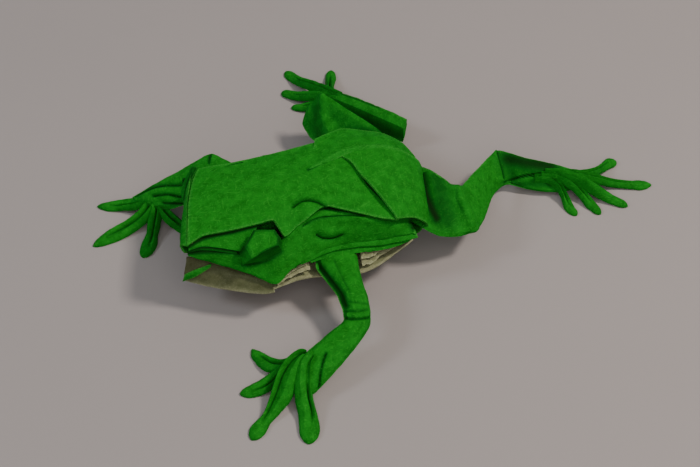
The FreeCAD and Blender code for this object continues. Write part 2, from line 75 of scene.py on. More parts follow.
# lengths in millimetres
EDGE_REACH = 0.5        # how far an open edge wears
CREASE_REACH = 0.4      # how far a crease in a sheet wears
FOLDED_EDGE_REACH = 0.3     # how far the folded edge of a band wears
VALLEY_REACH = 0.24     # how far the painted shade of a digit's valley reaches
TABLE_GAP = 0.02        # how far over the table a digit stays at least
DIGIT_SINK = 1.2        # how far a digit's base lies under its path


# --- from the maker's layout to the model's frame -----------------------------------

def layout_shift() -> np.ndarray:
    """Finds how far the model's origin lies from the layout's.

    The layout has its origin under the middle of the torso, +X towards the
    rump, +Y to the frog's right and z = 0 on the table.

    Returns:
        The shift to add to a layout point, in millimetres.
    """
    hinge = JOINTS["jaw_hinge"]["pos_m"]
    return np.array([hinge[0] / MM - JAW_HINGE_MM[0], hinge[1] / MM - JAW_HINGE_MM[1], 0.0])


SHIFT = layout_shift()


def placed(points: np.ndarray) -> np.ndarray:
    """Turns layout points in millimetres into model points in metres.

    Args:
        points: Points in the layout.

    Returns:
        The same points in the model's frame.
    """
    return (np.asarray(points, float) + SHIFT) * MM


def joint_at(name: str) -> np.ndarray:
    """Gives a joint's place in the layout, in millimetres.

    Args:
        name: The joint's name in the design.

    Returns:
        Where its axis passes.
    """
    return np.array(JOINTS[name]["pos_m"]) / MM - SHIFT


# --- shapes worked out as arrays ----------------------------------------------------

def resample(points: np.ndarray, per_span: int, roundness: float) -> np.ndarray:
    """Fills in points between control points along the first axis.

    Each span is a straight line mixed with a Catmull-Rom curve:
    p = (1 - r) * line + r * curve, with r the roundness.

    Args:
        points: Control points, the first axis running along the path.
        per_span: Steps between two control points.
        roundness: 0 for straight facets, 1 for a flowing curve.

    Returns:
        The filled-in points, (count - 1) * per_span + 1 of them.
    """
    points = np.asarray(points, float)
    last = len(points) - 1
    place = np.linspace(0, last, last * per_span + 1)
    index = np.minimum(place.astype(int), last - 1)
    share = (place - index).reshape((-1,) + (1,) * (points.ndim - 1))
    before, start = points[np.maximum(index - 1, 0)], points[index]
    end, after = points[index + 1], points[np.minimum(index + 2, last)]
    line = start * (1 - share) + end * share
    curve = 0.5 * (2 * start + (end - before) * share
                   + (2 * before - 5 * start + 4 * end - after) * share ** 2
                   + (3 * start - before - 3 * end + after) * share ** 3)
    return line * (1 - roundness) + curve * roundness


def grid_normals(grid: np.ndarray, closed: bool = False) -> np.ndarray:
    """Works out unit normals of a grid of points as the cross product of its two tangents.

    Args:
        grid: Points as (row, column, xyz).
        closed: Whether the last column meets the first.

    Returns:
        One normal for each point.
    """
    along = np.gradient(grid, axis=0)
    if closed:
        across = np.roll(grid, -1, axis=1) - np.roll(grid, 1, axis=1)
    else:
        across = np.gradient(grid, axis=1)
    normal = np.cross(across, along)
    return normal / np.maximum(np.linalg.norm(normal, axis=-1, keepdims=True), 1e-9)


def crinkle(points: np.ndarray, pitch: float, seed: int) -> np.ndarray:
    """Gives the height of fine crumpling at each point.

    The height is a sum of folded sine waves |sin(k . p + warp)| in six random
    directions, each warped by a slower wave, about -0.5 to 0.5 in all.

    Args:
        points: Points in millimetres, the last axis being x, y, z.
        pitch: Typical distance between two ridges in millimetres.
        seed: Seed of the directions and phases.

    Returns:
        One height for each point.
    """
    draw = np.random.default_rng(seed)
    total = np.zeros(points.shape[:-1])
    weight = 0.0
    for octave in range(6):
        way = draw.normal(size=3)
        way *= math.pi / pitch * 1.28 ** octave / np.linalg.norm(way)
        side = draw.normal(size=3)
        side *= math.pi / (pitch * 2.2) / np.linalg.norm(side)
        warp = 1.6 * np.sin(points @ side + draw.uniform(0, 6.28))
        total += np.abs(np.sin(points @ way + warp + draw.uniform(0, 6.28))) / 1.25 ** octave
        weight += 0.64 / 1.25 ** octave
    return total / weight - 1.0


def crumpled(grid: np.ndarray, normals: np.ndarray, height: float, seed: int,
             crumples: tuple[tuple[float, float], ...]) -> np.ndarray:
    """Lifts a grid along its normals by coarse and by fine crumpling.

    Args:
        grid: The surface's points.
        normals: Their unit normals.
        height: Height of the coarse crumpling in millimetres.
        seed: Seed of the coarse crumpling; the fine one's is 50 more.
        crumples: Pitch and share of the height, of the coarse and of the fine crumpling.

    Returns:
        The crumpled points.
    """
    (coarse, whole), (fine, part) = crumples
    lift = height * whole * crinkle(grid, coarse, seed) + height * part * crinkle(grid, fine, seed + 50)
    return grid + normals * lift[..., None]


def bell(gap: np.ndarray, reach: float, power: int = 2) -> np.ndarray:
    """Gives a bell, exp(-(gap / reach) ^ power): 1 where the gap is 0, falling off over the reach.

    Args:
        gap: Distances in millimetres.
        reach: Where the bell has fallen to 1 / e.
        power: 2 for a round bell, 4 for a flat-topped one.

    Returns:
        The bell's height at each distance.
    """
    return np.exp(-(gap / reach) ** power)


def pressed(grid: np.ndarray, normals: np.ndarray,
            scores: tuple["Score", ...]) -> tuple[np.ndarray, np.ndarray]:
    """Presses creases into a grid one after the other.

    Args:
        grid: The surface's points.
        normals: Their unit normals.
        scores: The creases.

    Returns:
        The pressed points, and the painted shade of the creases at each one, 0 to 1.
    """
    fold = np.zeros(grid.shape[:2])
    for score in scores:
        grid, shade = score.press(grid, normals)
        fold = np.maximum(fold, shade)
    return grid, fold


def distance_to_line(points: np.ndarray, line: np.ndarray) -> np.ndarray:
    """Gives each point's distance to a line of straight runs, the least over the runs.

    Args:
        points: Points in millimetres.
        line: Corners of the line.

    Returns:
        One distance for each point.
    """
    best = np.full(points.shape[:-1], 1e9)
    for start, end in zip(line[:-1], line[1:]):
        run = end - start
        share = np.clip(((points - start) @ run) / max(float(run @ run), 1e-9), 0, 1)
        best = np.minimum(best, np.linalg.norm(points - start - share[..., None] * run, axis=-1))
    return best


@dataclass(frozen=True)
class Score:
    """A crease pressed into the paper with painted shade along it, or a ridge raised from it.

    Attributes:
        line: Points of the crease in the layout, in millimetres.
        depth: How far the paper is pressed in; a ridge has a depth below 0.
        width: The crease's half width in millimetres.
        crease_shade: Strength of the shade painted along the crease, 0 to 1; a ridge gets none.
    """

    line: Points
    depth: float = 0.5
    width: float = 0.5
    crease_shade: float = 1.0

    def press(self, grid: np.ndarray, normals: np.ndarray) -> tuple[np.ndarray, np.ndarray]:
        """Presses the crease into a grid, as a bell-shaped groove about the line.

        The line is carried onto the surface along the way towards the camera, so distances are
        measured square to it, and only the side that faces the camera is pressed and painted with shade.

        Args:
            grid: The surface's points.
            normals: Their unit normals.

        Returns:
            The pressed points, and the painted shade of the crease at each one, 0 to 1.
        """
        path = resample(np.array(self.line), 4, 0.8)
        level = grid - (grid @ TOWARDS_CAMERA)[..., None] * TOWARDS_CAMERA
        path = path - (path @ TOWARDS_CAMERA)[:, None] * TOWARDS_CAMERA
        groove = bell(distance_to_line(level, path), self.width)
        groove = groove * np.clip(4 * (normals @ TOWARDS_CAMERA), 0, 1)
        # painted shade: the groove of a pressed crease is darkened by the crease's shade strength; a ridge
        # is not darkened
        shade = groove * self.crease_shade if self.depth > 0 else groove * 0
        return grid - normals * (groove * self.depth)[..., None], shade


@dataclass
class Surface:
    """A finished surface: its points and faces with the paper's wear and the shade painted into its folds.

    Attributes:
        points: Vertices in the layout, in millimetres.
        faces: Corner numbers of each face.
        wear: How worn the paper is at each vertex, 0 to 1.
        fold: How much painted shade each vertex gets, where it lies deep in a fold or under another sheet's
            edge, 0 to 1.
        flat: Where each vertex lies on the flat sheet, in millimetres.
    """

    points: np.ndarray
    faces: list[tuple[int, ...]]
    wear: np.ndarray
    fold: np.ndarray
    flat: np.ndarray


def edge_wear(lengths: np.ndarray, whole: np.ndarray) -> np.ndarray:
    """Gives the wear of a sheet's two open edges, at 0 and at its whole length.

    Args:
        lengths: Distance of each point from the first edge.
        whole: The whole distance to the other edge.

    Returns:
        How worn each point is, 0 to 1.
    """
    return np.maximum(bell(lengths, EDGE_REACH), bell(whole - lengths, EDGE_REACH))


def run_lengths(grid: np.ndarray, axis: int) -> np.ndarray:
    """Adds up the distance along one axis of a grid, starting from 0 at its first line.

    Args:
        grid: Points as (row, column, xyz).
        axis: 0 to run down the rows, 1 to run along them.

    Returns:
        The distance gone at each point.
    """
    steps = np.linalg.norm(np.diff(grid, axis=axis), axis=-1)
    pad = [(1, 0), (0, 0)] if axis == 0 else [(0, 0), (1, 0)]
    return np.pad(np.cumsum(steps, axis=axis), pad)


def sheet_surface(rows: list[Points], thickness: float, roundness: tuple[float, float] = (0.5, 0.8),
                  fine: tuple[int, int] = (10, 10), scores: tuple[Score, ...] = (),
                  crumple: float = 0.14, seed: int = 1, creased_rows: tuple[int, ...] = (),
                  tucked_rows: tuple[int, ...] = (), tuck: tuple[float, float] = (1.0, 1.0)) -> Surface:
    """Makes a closed thin sheet through a net of control points.

    The net is filled in along both ways, creases are pressed into it, fine
    crumpling lifts it along its normals, and it is given its thickness by
    moving it half of that each way, with a rim all round.

    Args:
        rows: Rows of control points, all of one length.
        thickness: Thickness of the folded layers in millimetres.
        roundness: How flowing the net is across the rows and along them.
        fine: Steps between control points across the rows and along them.
        scores: Creases to press in.
        crumple: Height of the fine crumpling in millimetres.
        seed: Seed of the crumpling.
        creased_rows: Rows that are creases, which wear paler.
        tucked_rows: Rows that lie under another sheet's edge, which get painted shade.
        tuck: How far that painted shade reaches in millimetres, and how dark it is.

    Returns:
        The sheet's surface.
    """
    net = np.array(rows, float)
    grid = resample(net, fine[0], roundness[0])
    grid = resample(grid.swapaxes(0, 1), fine[1], roundness[1]).swapaxes(0, 1)
    normals = grid_normals(grid)
    normals = normals * np.where(np.sum(normals @ TOWARDS_CAMERA) < 0, -1, 1)
    grid, fold = pressed(grid, normals, scores)
    grid = crumpled(grid, normals, crumple, seed, SHEET_CRUMPLES)
    normals = grid_normals(grid)
    down = run_lengths(grid, 0)
    along = run_lengths(grid, 1)
    wear = np.maximum(edge_wear(down, down[-1:]), edge_wear(along, along[:, -1:]))
    for row in creased_rows:
        wear = np.maximum(wear, 0.4 * bell(down - down[row * fine[0]], CREASE_REACH))
    # painted shade along the rows that lie under another sheet's edge
    for row in tucked_rows:
        fold = np.maximum(fold, tuck[1] * bell(down - down[row * fine[0]], tuck[0], 4))
    wear = wear * (1 - fold)
    count, width = grid.shape[:2]
    top = grid + normals * thickness / 2
    base = grid - normals * thickness / 2
    number = np.arange(count * width).reshape(count, width)
    under = number + count * width
    quads = np.stack([number[:-1, :-1], number[:-1, 1:], number[1:, 1:], number[1:, :-1]], -1)
    quads = quads.reshape(-1, 4)
    faces = [quads, quads[:, ::-1] + count * width]
    rim = np.concatenate([number[0, :], number[1:, -1], number[-1, -2::-1], number[-2:0:-1, 0]])
    below = np.concatenate([under[0, :], under[1:, -1], under[-1, -2::-1], under[-2:0:-1, 0]])
    faces.append(np.stack([np.roll(rim, -1), rim, below, np.roll(below, -1)], -1))
    flat = np.stack([down, along], -1).reshape(-1, 2)
    return Surface(np.concatenate([top.reshape(-1, 3), base.reshape(-1, 3)]),
                   np.concatenate(faces).tolist(),
                   np.tile(wear.ravel(), 2), np.tile(fold.ravel(), 2), np.tile(flat, (2, 1)))


def tube_surface(rings: np.ndarray, creases: list[int], scores: tuple[Score, ...] = (),
                 crumple: float = 0.1, seed: int = 1, hug: float = 0.0, valleys: tuple[int, ...] = (),
                 fading: np.ndarray | float = 1.0) -> Surface:
    """Makes a closed band from rings of points, with a fan at each end.

    Args:
        rings: Points as (ring, place round it, xyz).
        creases: Places round the ring that are folded edges, which wear paler.
        scores: Creases to press in.
        crumple: Height of the fine crumpling in millimetres.
        seed: Seed of the crumpling.
        hug: Height over the table below which the band is kept flat.
        valleys: Places round the ring that are folded inwards, which get painted shade.
        fading: How much of that painted shade is left at each ring.

    Returns:
        The band's surface.
    """
    grid = np.asarray(rings, float)
    normals = grid_normals(grid, closed=True)
    middle = grid.mean(axis=1, keepdims=True)
    outward = np.sign(np.sum((grid - middle) * normals, axis=(1, 2), keepdims=True))
    normals = normals * outward
    grid, fold = pressed(grid, normals, scores)
    grid = crumpled(grid, normals, crumple, seed, BAND_CRUMPLES)
    grid[..., 2] = np.maximum(grid[..., 2], hug)
    count, around = grid.shape[:2]
    length = run_lengths(grid, 0)
    girth = run_lengths(np.concatenate([grid, grid[:, :1]], axis=1), 1)[:, :-1]
    whole = girth[:, -1:] + np.linalg.norm(grid[:, :1] - grid[:, -1:], axis=-1)
    wear = np.zeros(grid.shape[:2])
    for crease in creases:
        gap = np.abs(girth - girth[:, crease:crease + 1])
        wear = np.maximum(wear, bell(np.minimum(gap, whole - gap), FOLDED_EDGE_REACH))
    # painted shade along each inward fold, fading ring by ring
    for valley in valleys:
        gap = np.abs(girth - girth[:, valley:valley + 1])
        valley_shade = bell(np.minimum(gap, whole - gap), VALLEY_REACH)
        fold = np.maximum(fold, valley_shade * np.reshape(fading, (-1, 1)))
    number = np.arange(count * around).reshape(count, around)
    beside = np.roll(number, -1, axis=1)
    quads = np.stack([number[:-1], beside[:-1], beside[1:], number[1:]], -1).reshape(-1, 4).tolist()
    hub = np.full(around, count * around)
    fans = np.concatenate([np.stack([beside[0], number[0], hub], -1),
                           np.stack([number[-1], beside[-1], hub + 1], -1)]).tolist()
    ends = np.stack([grid[0].mean(axis=0), grid[-1].mean(axis=0)])
    flat = np.stack([length, girth], -1).reshape(-1, 2)
    return Surface(np.concatenate([grid.reshape(-1, 3), ends]), quads + fans,
                   np.append(wear.ravel(), [0, 0]), np.append(fold.ravel(), [0, 0]),
                   np.concatenate([flat, [[0, 0], [0, 0]]]))


def band_rings(left: Points, right: Points, depth: list[float], profile: list[tuple[float, float]],
               per_span: int = 12, per_side: int = 6,
               roundness: float = 0.55) -> tuple[np.ndarray, list[int]]:
    """Carries a folded profile along two edges.

    A corner (t, h) of the profile lies at left + t * (right - left) + h * depth
    along the direction square to the band; the sides between corners are
    straight, with corners shared out evenly along them.

    Args:
        left: Points along the band's left edge.
        right: Points along its right edge, as many.
        depth: The band's depth at each, in millimetres.
        profile: Corners of the closed profile.
        per_span: Rings between two points.
        per_side: Points on each side of the profile.
        roundness: How flowing the edges are.

    Returns:
        The rings, and which places round them are the profile's corners.
    """
    low = resample(np.array(left, float), per_span, roundness)
    high = resample(np.array(right, float), per_span, roundness)
    thick = resample(np.array(depth, float), per_span, roundness)
    middle = (low + high) / 2
    along = np.gradient(middle, axis=0)
    up = np.cross(high - low, along)
    up /= np.linalg.norm(up, axis=1, keepdims=True)
    up *= np.where(up[:, 2:3] < 0, -1, 1)
    corners = np.array(profile + profile[:1], float)
    shares = resample(corners, per_side, 0.0)[:-1]
    rings = (low[:, None] + shares[None, :, 0:1] * (high - low)[:, None]
             + shares[None, :, 1:2] * (up * thick[:, None])[:, None])
    return rings, [i * per_side for i in range(len(profile))]


def ray_rings(path: Points, widths: list[float], heights: list[float],
              profile: list[tuple[float, float]], pad: list[tuple[float, float]], per_span: int = 10,
              per_side: int = 4) -> tuple[np.ndarray, list[int], np.ndarray]:
    """Carries a digit's profile along a path that lies low over the table.

    A corner (s, h) of the profile lies at path + s * half width sideways and
    h * height upwards, with both falling to a rounded end at the tip. The
    section turns smoothly from the folded one into the pad's near the tip.

    Args:
        path: Points under the digit's middle.
        widths: Half width at each point in millimetres.
        heights: Height at each point in millimetres.
        profile: Corners of the closed folded section.
        pad: As many corners of the section at the pad.
        per_span: Rings between two points.
        per_side: Points on each side of the section.

    Returns:
        The rings, which places round them are corners, and how folded each ring is.
    """
    line = resample(np.array(path, float), per_span, 0.9)
    wide = resample(np.array(widths, float), per_span, 0.9)
    high = resample(np.array(heights, float), per_span, 0.9)
    along = np.gradient(line, axis=0)
    side = np.cross(along, UP)
    side /= np.linalg.norm(side, axis=1, keepdims=True)
    reach = run_lengths(line[:, None], 0)[:, 0]
    left = reach[-1] - reach
    cap = np.sqrt(np.clip(1 - (1 - np.minimum(left / wide.max(), 1)) ** 2, 0.02, 1))
    folded = 1 - np.clip((reach / reach[-1] - 0.55) / 0.3, 0, 1) ** 2
    folded_section = resample(np.array(profile + profile[:1], float), per_side, 0.35)[:-1]
    pad_section = resample(np.array(pad + pad[:1], float), per_side, 0.35)[:-1]
    shares = folded[:, None, None] * folded_section + (1 - folded)[:, None, None] * pad_section
    rings = (line[:, None] + shares[..., 0:1] * (side * (wide * cap)[:, None])[:, None]
             + shares[..., 1:2] * (high * (0.25 + 0.75 * cap))[:, None, None] * UP)
    return rings, [i * per_side for i in range(len(profile))], folded


# --- paper finishes -----------------------------------------------------------------

@dataclass(frozen=True)
class PaperFinish:
    """Handmade paper with mottled dye, tangled fibres, worn ridges and a soft tooth.

    Attributes:
        name: The material's name.
        slot: The record's material slot; not used.
        deep: Dye where it has pooled.
        fresh: Dye where it is even.
        pale: Fibres and thin places.
        worn: Ridges and edges rubbed by folding.
        shade: Painted shade, mixed in where the fold field marks creases, valleys and tucked edges.
        roughness: How matt the paper is.
    """

    name: str
    slot: str
    deep: Colour
    fresh: Colour
    pale: Colour
    worn: Colour
    shade: Colour
    roughness: float = 0.72

    def material(self) -> bpy.types.Material:
        """Builds the material once and returns it."""
        made = bpy.data.materials.get(self.name)
        return made if made else self.build()

    def build(self) -> bpy.types.Material:
        """Makes the nodes: mottling, three ways of fibres, wear from an attribute, painted shade from the
        fold attribute and a bump.
        """
        material = bpy.data.materials.new(self.name)
        material.use_nodes = True
        tree = material.node_tree
        tree.nodes.clear()
        output = tree.nodes.new("ShaderNodeOutputMaterial")
        shader = tree.nodes.new("ShaderNodeBsdfPrincipled")
        tree.links.new(shader.outputs["BSDF"], output.inputs["Surface"])
        shader.inputs["Roughness"].default_value = self.roughness
        shader.inputs["Specular IOR Level"].default_value = 0.06
        place = tree.nodes.new("ShaderNodeTexCoord").outputs["Object"]
        cloud = self.noise(tree, place, scale=420.0, detail=5.0, roughness=0.62)
        grain = self.noise(tree, place, scale=2400.0, detail=3.0, roughness=0.65)
        fibres = self.fibres(tree, place)
        paper_colour = self.mix(tree, self.ramp(tree, cloud, 0.34, 0.64), self.deep, self.fresh)
        paper_colour = self.mix(tree, self.scaled(tree, fibres, 0.55), paper_colour, self.pale)
        paper_colour = self.mix(tree, self.scaled(tree, self.ramp(tree, grain, 0.5, 0.75), 0.35), paper_colour, self.pale)
        rubbed = self.product(tree, self.attribute(tree, "wear"), self.ramp(tree, grain, 0.35, 0.65))
        paper_colour = self.mix(tree, self.scaled(tree, rubbed, 0.5), paper_colour, self.worn)
        # painted shade: creases, valleys and tucked edges are darkened towards the shade colour
        paper_colour = self.mix(tree, self.scaled(tree, self.attribute(tree, "fold"), 0.9), paper_colour, self.shade)
        tree.links.new(paper_colour, shader.inputs["Base Color"])
        self.tooth(tree, shader, place, fibres, grain)
        return material

    def noise(self, tree: Tree, place: Socket, scale: float, detail: float, roughness: float) -> Socket:
        """Adds a noise pattern and returns its value.

        Args:
            tree: The material's nodes.
            place: Where the pattern is read.
            scale: How many lumps there are in a metre.
            detail: How many finer layers it has.
            roughness: How strong those layers are.

        Returns:
            The pattern's value.
        """
        node = tree.nodes.new("ShaderNodeTexNoise")
        node.inputs["Scale"].default_value = scale
        node.inputs["Detail"].default_value = detail
        node.inputs["Roughness"].default_value = roughness
        tree.links.new(place, node.inputs["Vector"])
        return node.outputs["Fac"]

    def ramp(self, tree: Tree, value: Socket, low: float, high: float) -> Socket:
        """Stretches a value so that low becomes 0 and high becomes 1.

        Args:
            tree: The material's nodes.
            value: The value to stretch.
            low: What becomes 0.
            high: What becomes 1.

        Returns:
            The stretched value.
        """
        node = tree.nodes.new("ShaderNodeMapRange")
        node.inputs["From Min"].default_value = low
        node.inputs["From Max"].default_value = high
        tree.links.new(value, node.inputs["Value"])
        return node.outputs["Result"]

    def scaled(self, tree: Tree, value: Socket, by: float) -> Socket:
        """Multiplies a value by a number.

        Args:
            tree: The material's nodes.
            value: The value.
            by: The number.

        Returns:
            Their product, kept within 0 and 1.
        """
        node = tree.nodes.new("ShaderNodeMath")
        node.operation = "MULTIPLY"
        node.use_clamp = True
        tree.links.new(value, node.inputs[0])
        node.inputs[1].default_value = by
        return node.outputs["Value"]

    def product(self, tree: Tree, one: Socket, other: Socket) -> Socket:
        """Multiplies two values.

        Args:
            tree: The material's nodes.
            one: A value.
            other: Another.

        Returns:
            Their product.
        """
        node = tree.nodes.new("ShaderNodeMath")
        node.operation = "MULTIPLY"
        tree.links.new(one, node.inputs[0])
        tree.links.new(other, node.inputs[1])
        return node.outputs["Value"]

    def attribute(self, tree: Tree, name: str) -> Socket:
        """Reads one of the mesh's own fields.

        Args:
            tree: The material's nodes.
            name: The field's name.

        Returns:
            The field's value.
        """
        node = tree.nodes.new("ShaderNodeAttribute")
        node.attribute_name = name
        return node.outputs["Fac"]

    def mix(self, tree: Tree, share: Socket, one: "Socket | Colour", other: "Socket | Colour") -> Socket:
        """Mixes two colours, each a socket or three numbers.

        Args:
            tree: The material's nodes.
            share: How much of the other there is, 0 to 1.
            one: The first colour.
            other: The other colour.

        Returns:
            The mixed colour.
        """
        node = tree.nodes.new("ShaderNodeMix")
        node.data_type = "RGBA"
        tree.links.new(share, node.inputs["Factor"])
        for socket, colour in ((node.inputs["A"], one), (node.inputs["B"], other)):
            target = next(s for s in node.inputs if s.name == socket.name and s.type == "RGBA")
            if isinstance(colour, tuple):
                target.default_value = (*colour, 1.0)
            else:
                tree.links.new(colour, target)
        return next(s for s in node.outputs if s.type == "RGBA")

    def fibres(self, tree: Tree, place: Socket) -> Socket:
        """Adds three layers of thin streaks, noise stretched along different ways.

        Args:
            tree: The material's nodes.
            place: Where the pattern is read.

        Returns:
            How much of a fibre lies at each place, 0 to 1.
        """
        total = None
        for turn, tilt in ((0.4, 0.3), (1.5, -0.5), (2.7, 0.8)):
            mapping = tree.nodes.new("ShaderNodeMapping")
            mapping.vector_type = "TEXTURE"
            mapping.inputs["Rotation"].default_value = (tilt, 0.3 * tilt, turn)
            mapping.inputs["Scale"].default_value = (2.6 * MM, 0.42 * MM, 0.42 * MM)
            tree.links.new(place, mapping.inputs["Vector"])
            streak = self.noise(tree, mapping.outputs["Vector"], scale=1.0, detail=2.0, roughness=0.5)
            thin = self.ramp(tree, streak, 0.6, 0.72)
            if total is None:
                total = thin
                continue
            join = tree.nodes.new("ShaderNodeMath")
            join.operation = "MAXIMUM"
            tree.links.new(total, join.inputs[0])
            tree.links.new(thin, join.inputs[1])
            total = join.outputs["Value"]
        return total

    def tooth(self, tree: Tree, shader: bpy.types.Node, place: Socket, fibres: Socket,
              grain: Socket) -> None:
        """Raises the fibres and a fine grain as a bump.

        Args:
            tree: The material's nodes.
            shader: The paper's shader.
            place: Where the pattern is read.
            fibres: How much of a fibre lies there.
            grain: The fine grain there.
        """
        pucker = self.noise(tree, place, scale=900.0, detail=4.0, roughness=0.6)
        height = None
        for value, share in ((fibres, 0.35), (grain, 0.3), (pucker, 0.6)):
            part = self.scaled(tree, value, share)
            if height is None:
                height = part
                continue
            join = tree.nodes.new("ShaderNodeMath")
            join.operation = "ADD"
            tree.links.new(height, join.inputs[0])
            tree.links.new(part, join.inputs[1])
            height = join.outputs["Value"]
        bump = tree.nodes.new("ShaderNodeBump")
        bump.inputs["Strength"].default_value = 0.55
        bump.inputs["Distance"].default_value = 0.25 * MM
        tree.links.new(height, bump.inputs["Height"])
        tree.links.new(bump.outputs["Normal"], shader.inputs["Normal"])


class Paper(Enum):
    """The two faces of the sheet."""

    # the last colour of each finish is its painted shade
    GREEN = PaperFinish("green_handmade_paper", "green_paper", (0.003, 0.112, 0.004), (0.007, 0.172, 0.009),
                        (0.026, 0.245, 0.018), (0.07, 0.29, 0.045), (0.0004, 0.014, 0.0003))
    CREAM = PaperFinish("cream_paper_reverse", "cream_paper", (0.13, 0.14, 0.065), (0.25, 0.26, 0.135),
                        (0.36, 0.35, 0.21), (0.44, 0.43, 0.27), (0.03, 0.035, 0.012))


def make_piece(name: str, surface: Surface, paper: Paper, nodes: tuple[str, ...] = (),
               keep_angle: float = 38.0) -> bpy.types.Object:
    """Turns a surface into an object at the origin, dressed in paper.

    Args:
        name: The piece's name.
        surface: Its surface in the layout.
        paper: Its finish.
        nodes: The design's pieces that it stands for.
        keep_angle: Edges that turn more than this many degrees stay sharp.

    Returns:
        The new object.
    """
    mesh = bpy.data.meshes.new(name)
    mesh.from_pydata(placed(surface.points).tolist(), [], surface.faces)
    # the fold field carries the shade painted into creases, valleys and tucked edges; the material darkens
    # the paper by it
    for field_name, values in (("wear", surface.wear), ("fold", surface.fold)):
        layer = mesh.attributes.new(field_name, "FLOAT", "POINT")
        layer.data.foreach_set("value", np.asarray(values, np.float32))
    corners = np.empty(len(mesh.loops), np.int32)
    mesh.loops.foreach_get("vertex_index", corners)
    mesh.uv_layers.new(name="flat_sheet").data.foreach_set(
        "uv", (surface.flat[corners] * 0.01).astype(np.float32).ravel())
    shell = bmesh.new()
    shell.from_mesh(mesh)
    bmesh.ops.remove_doubles(shell, verts=shell.verts, dist=1e-7)
    bmesh.ops.recalc_face_normals(shell, faces=shell.faces)
    shell.to_mesh(mesh)
    shell.free()
    mesh.shade_smooth()
    mesh.set_sharp_from_angle(angle=math.radians(keep_angle))
    piece = bpy.data.objects.new(name, mesh)
    bpy.context.scene.collection.objects.link(piece)
    mesh.materials.append(paper.value.material())
    if nodes:
        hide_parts(*nodes)
    LOG.info("%s: %d faces", name, len(mesh.polygons))
    return piece


# --- the torso ----------------------------------------------------------------------

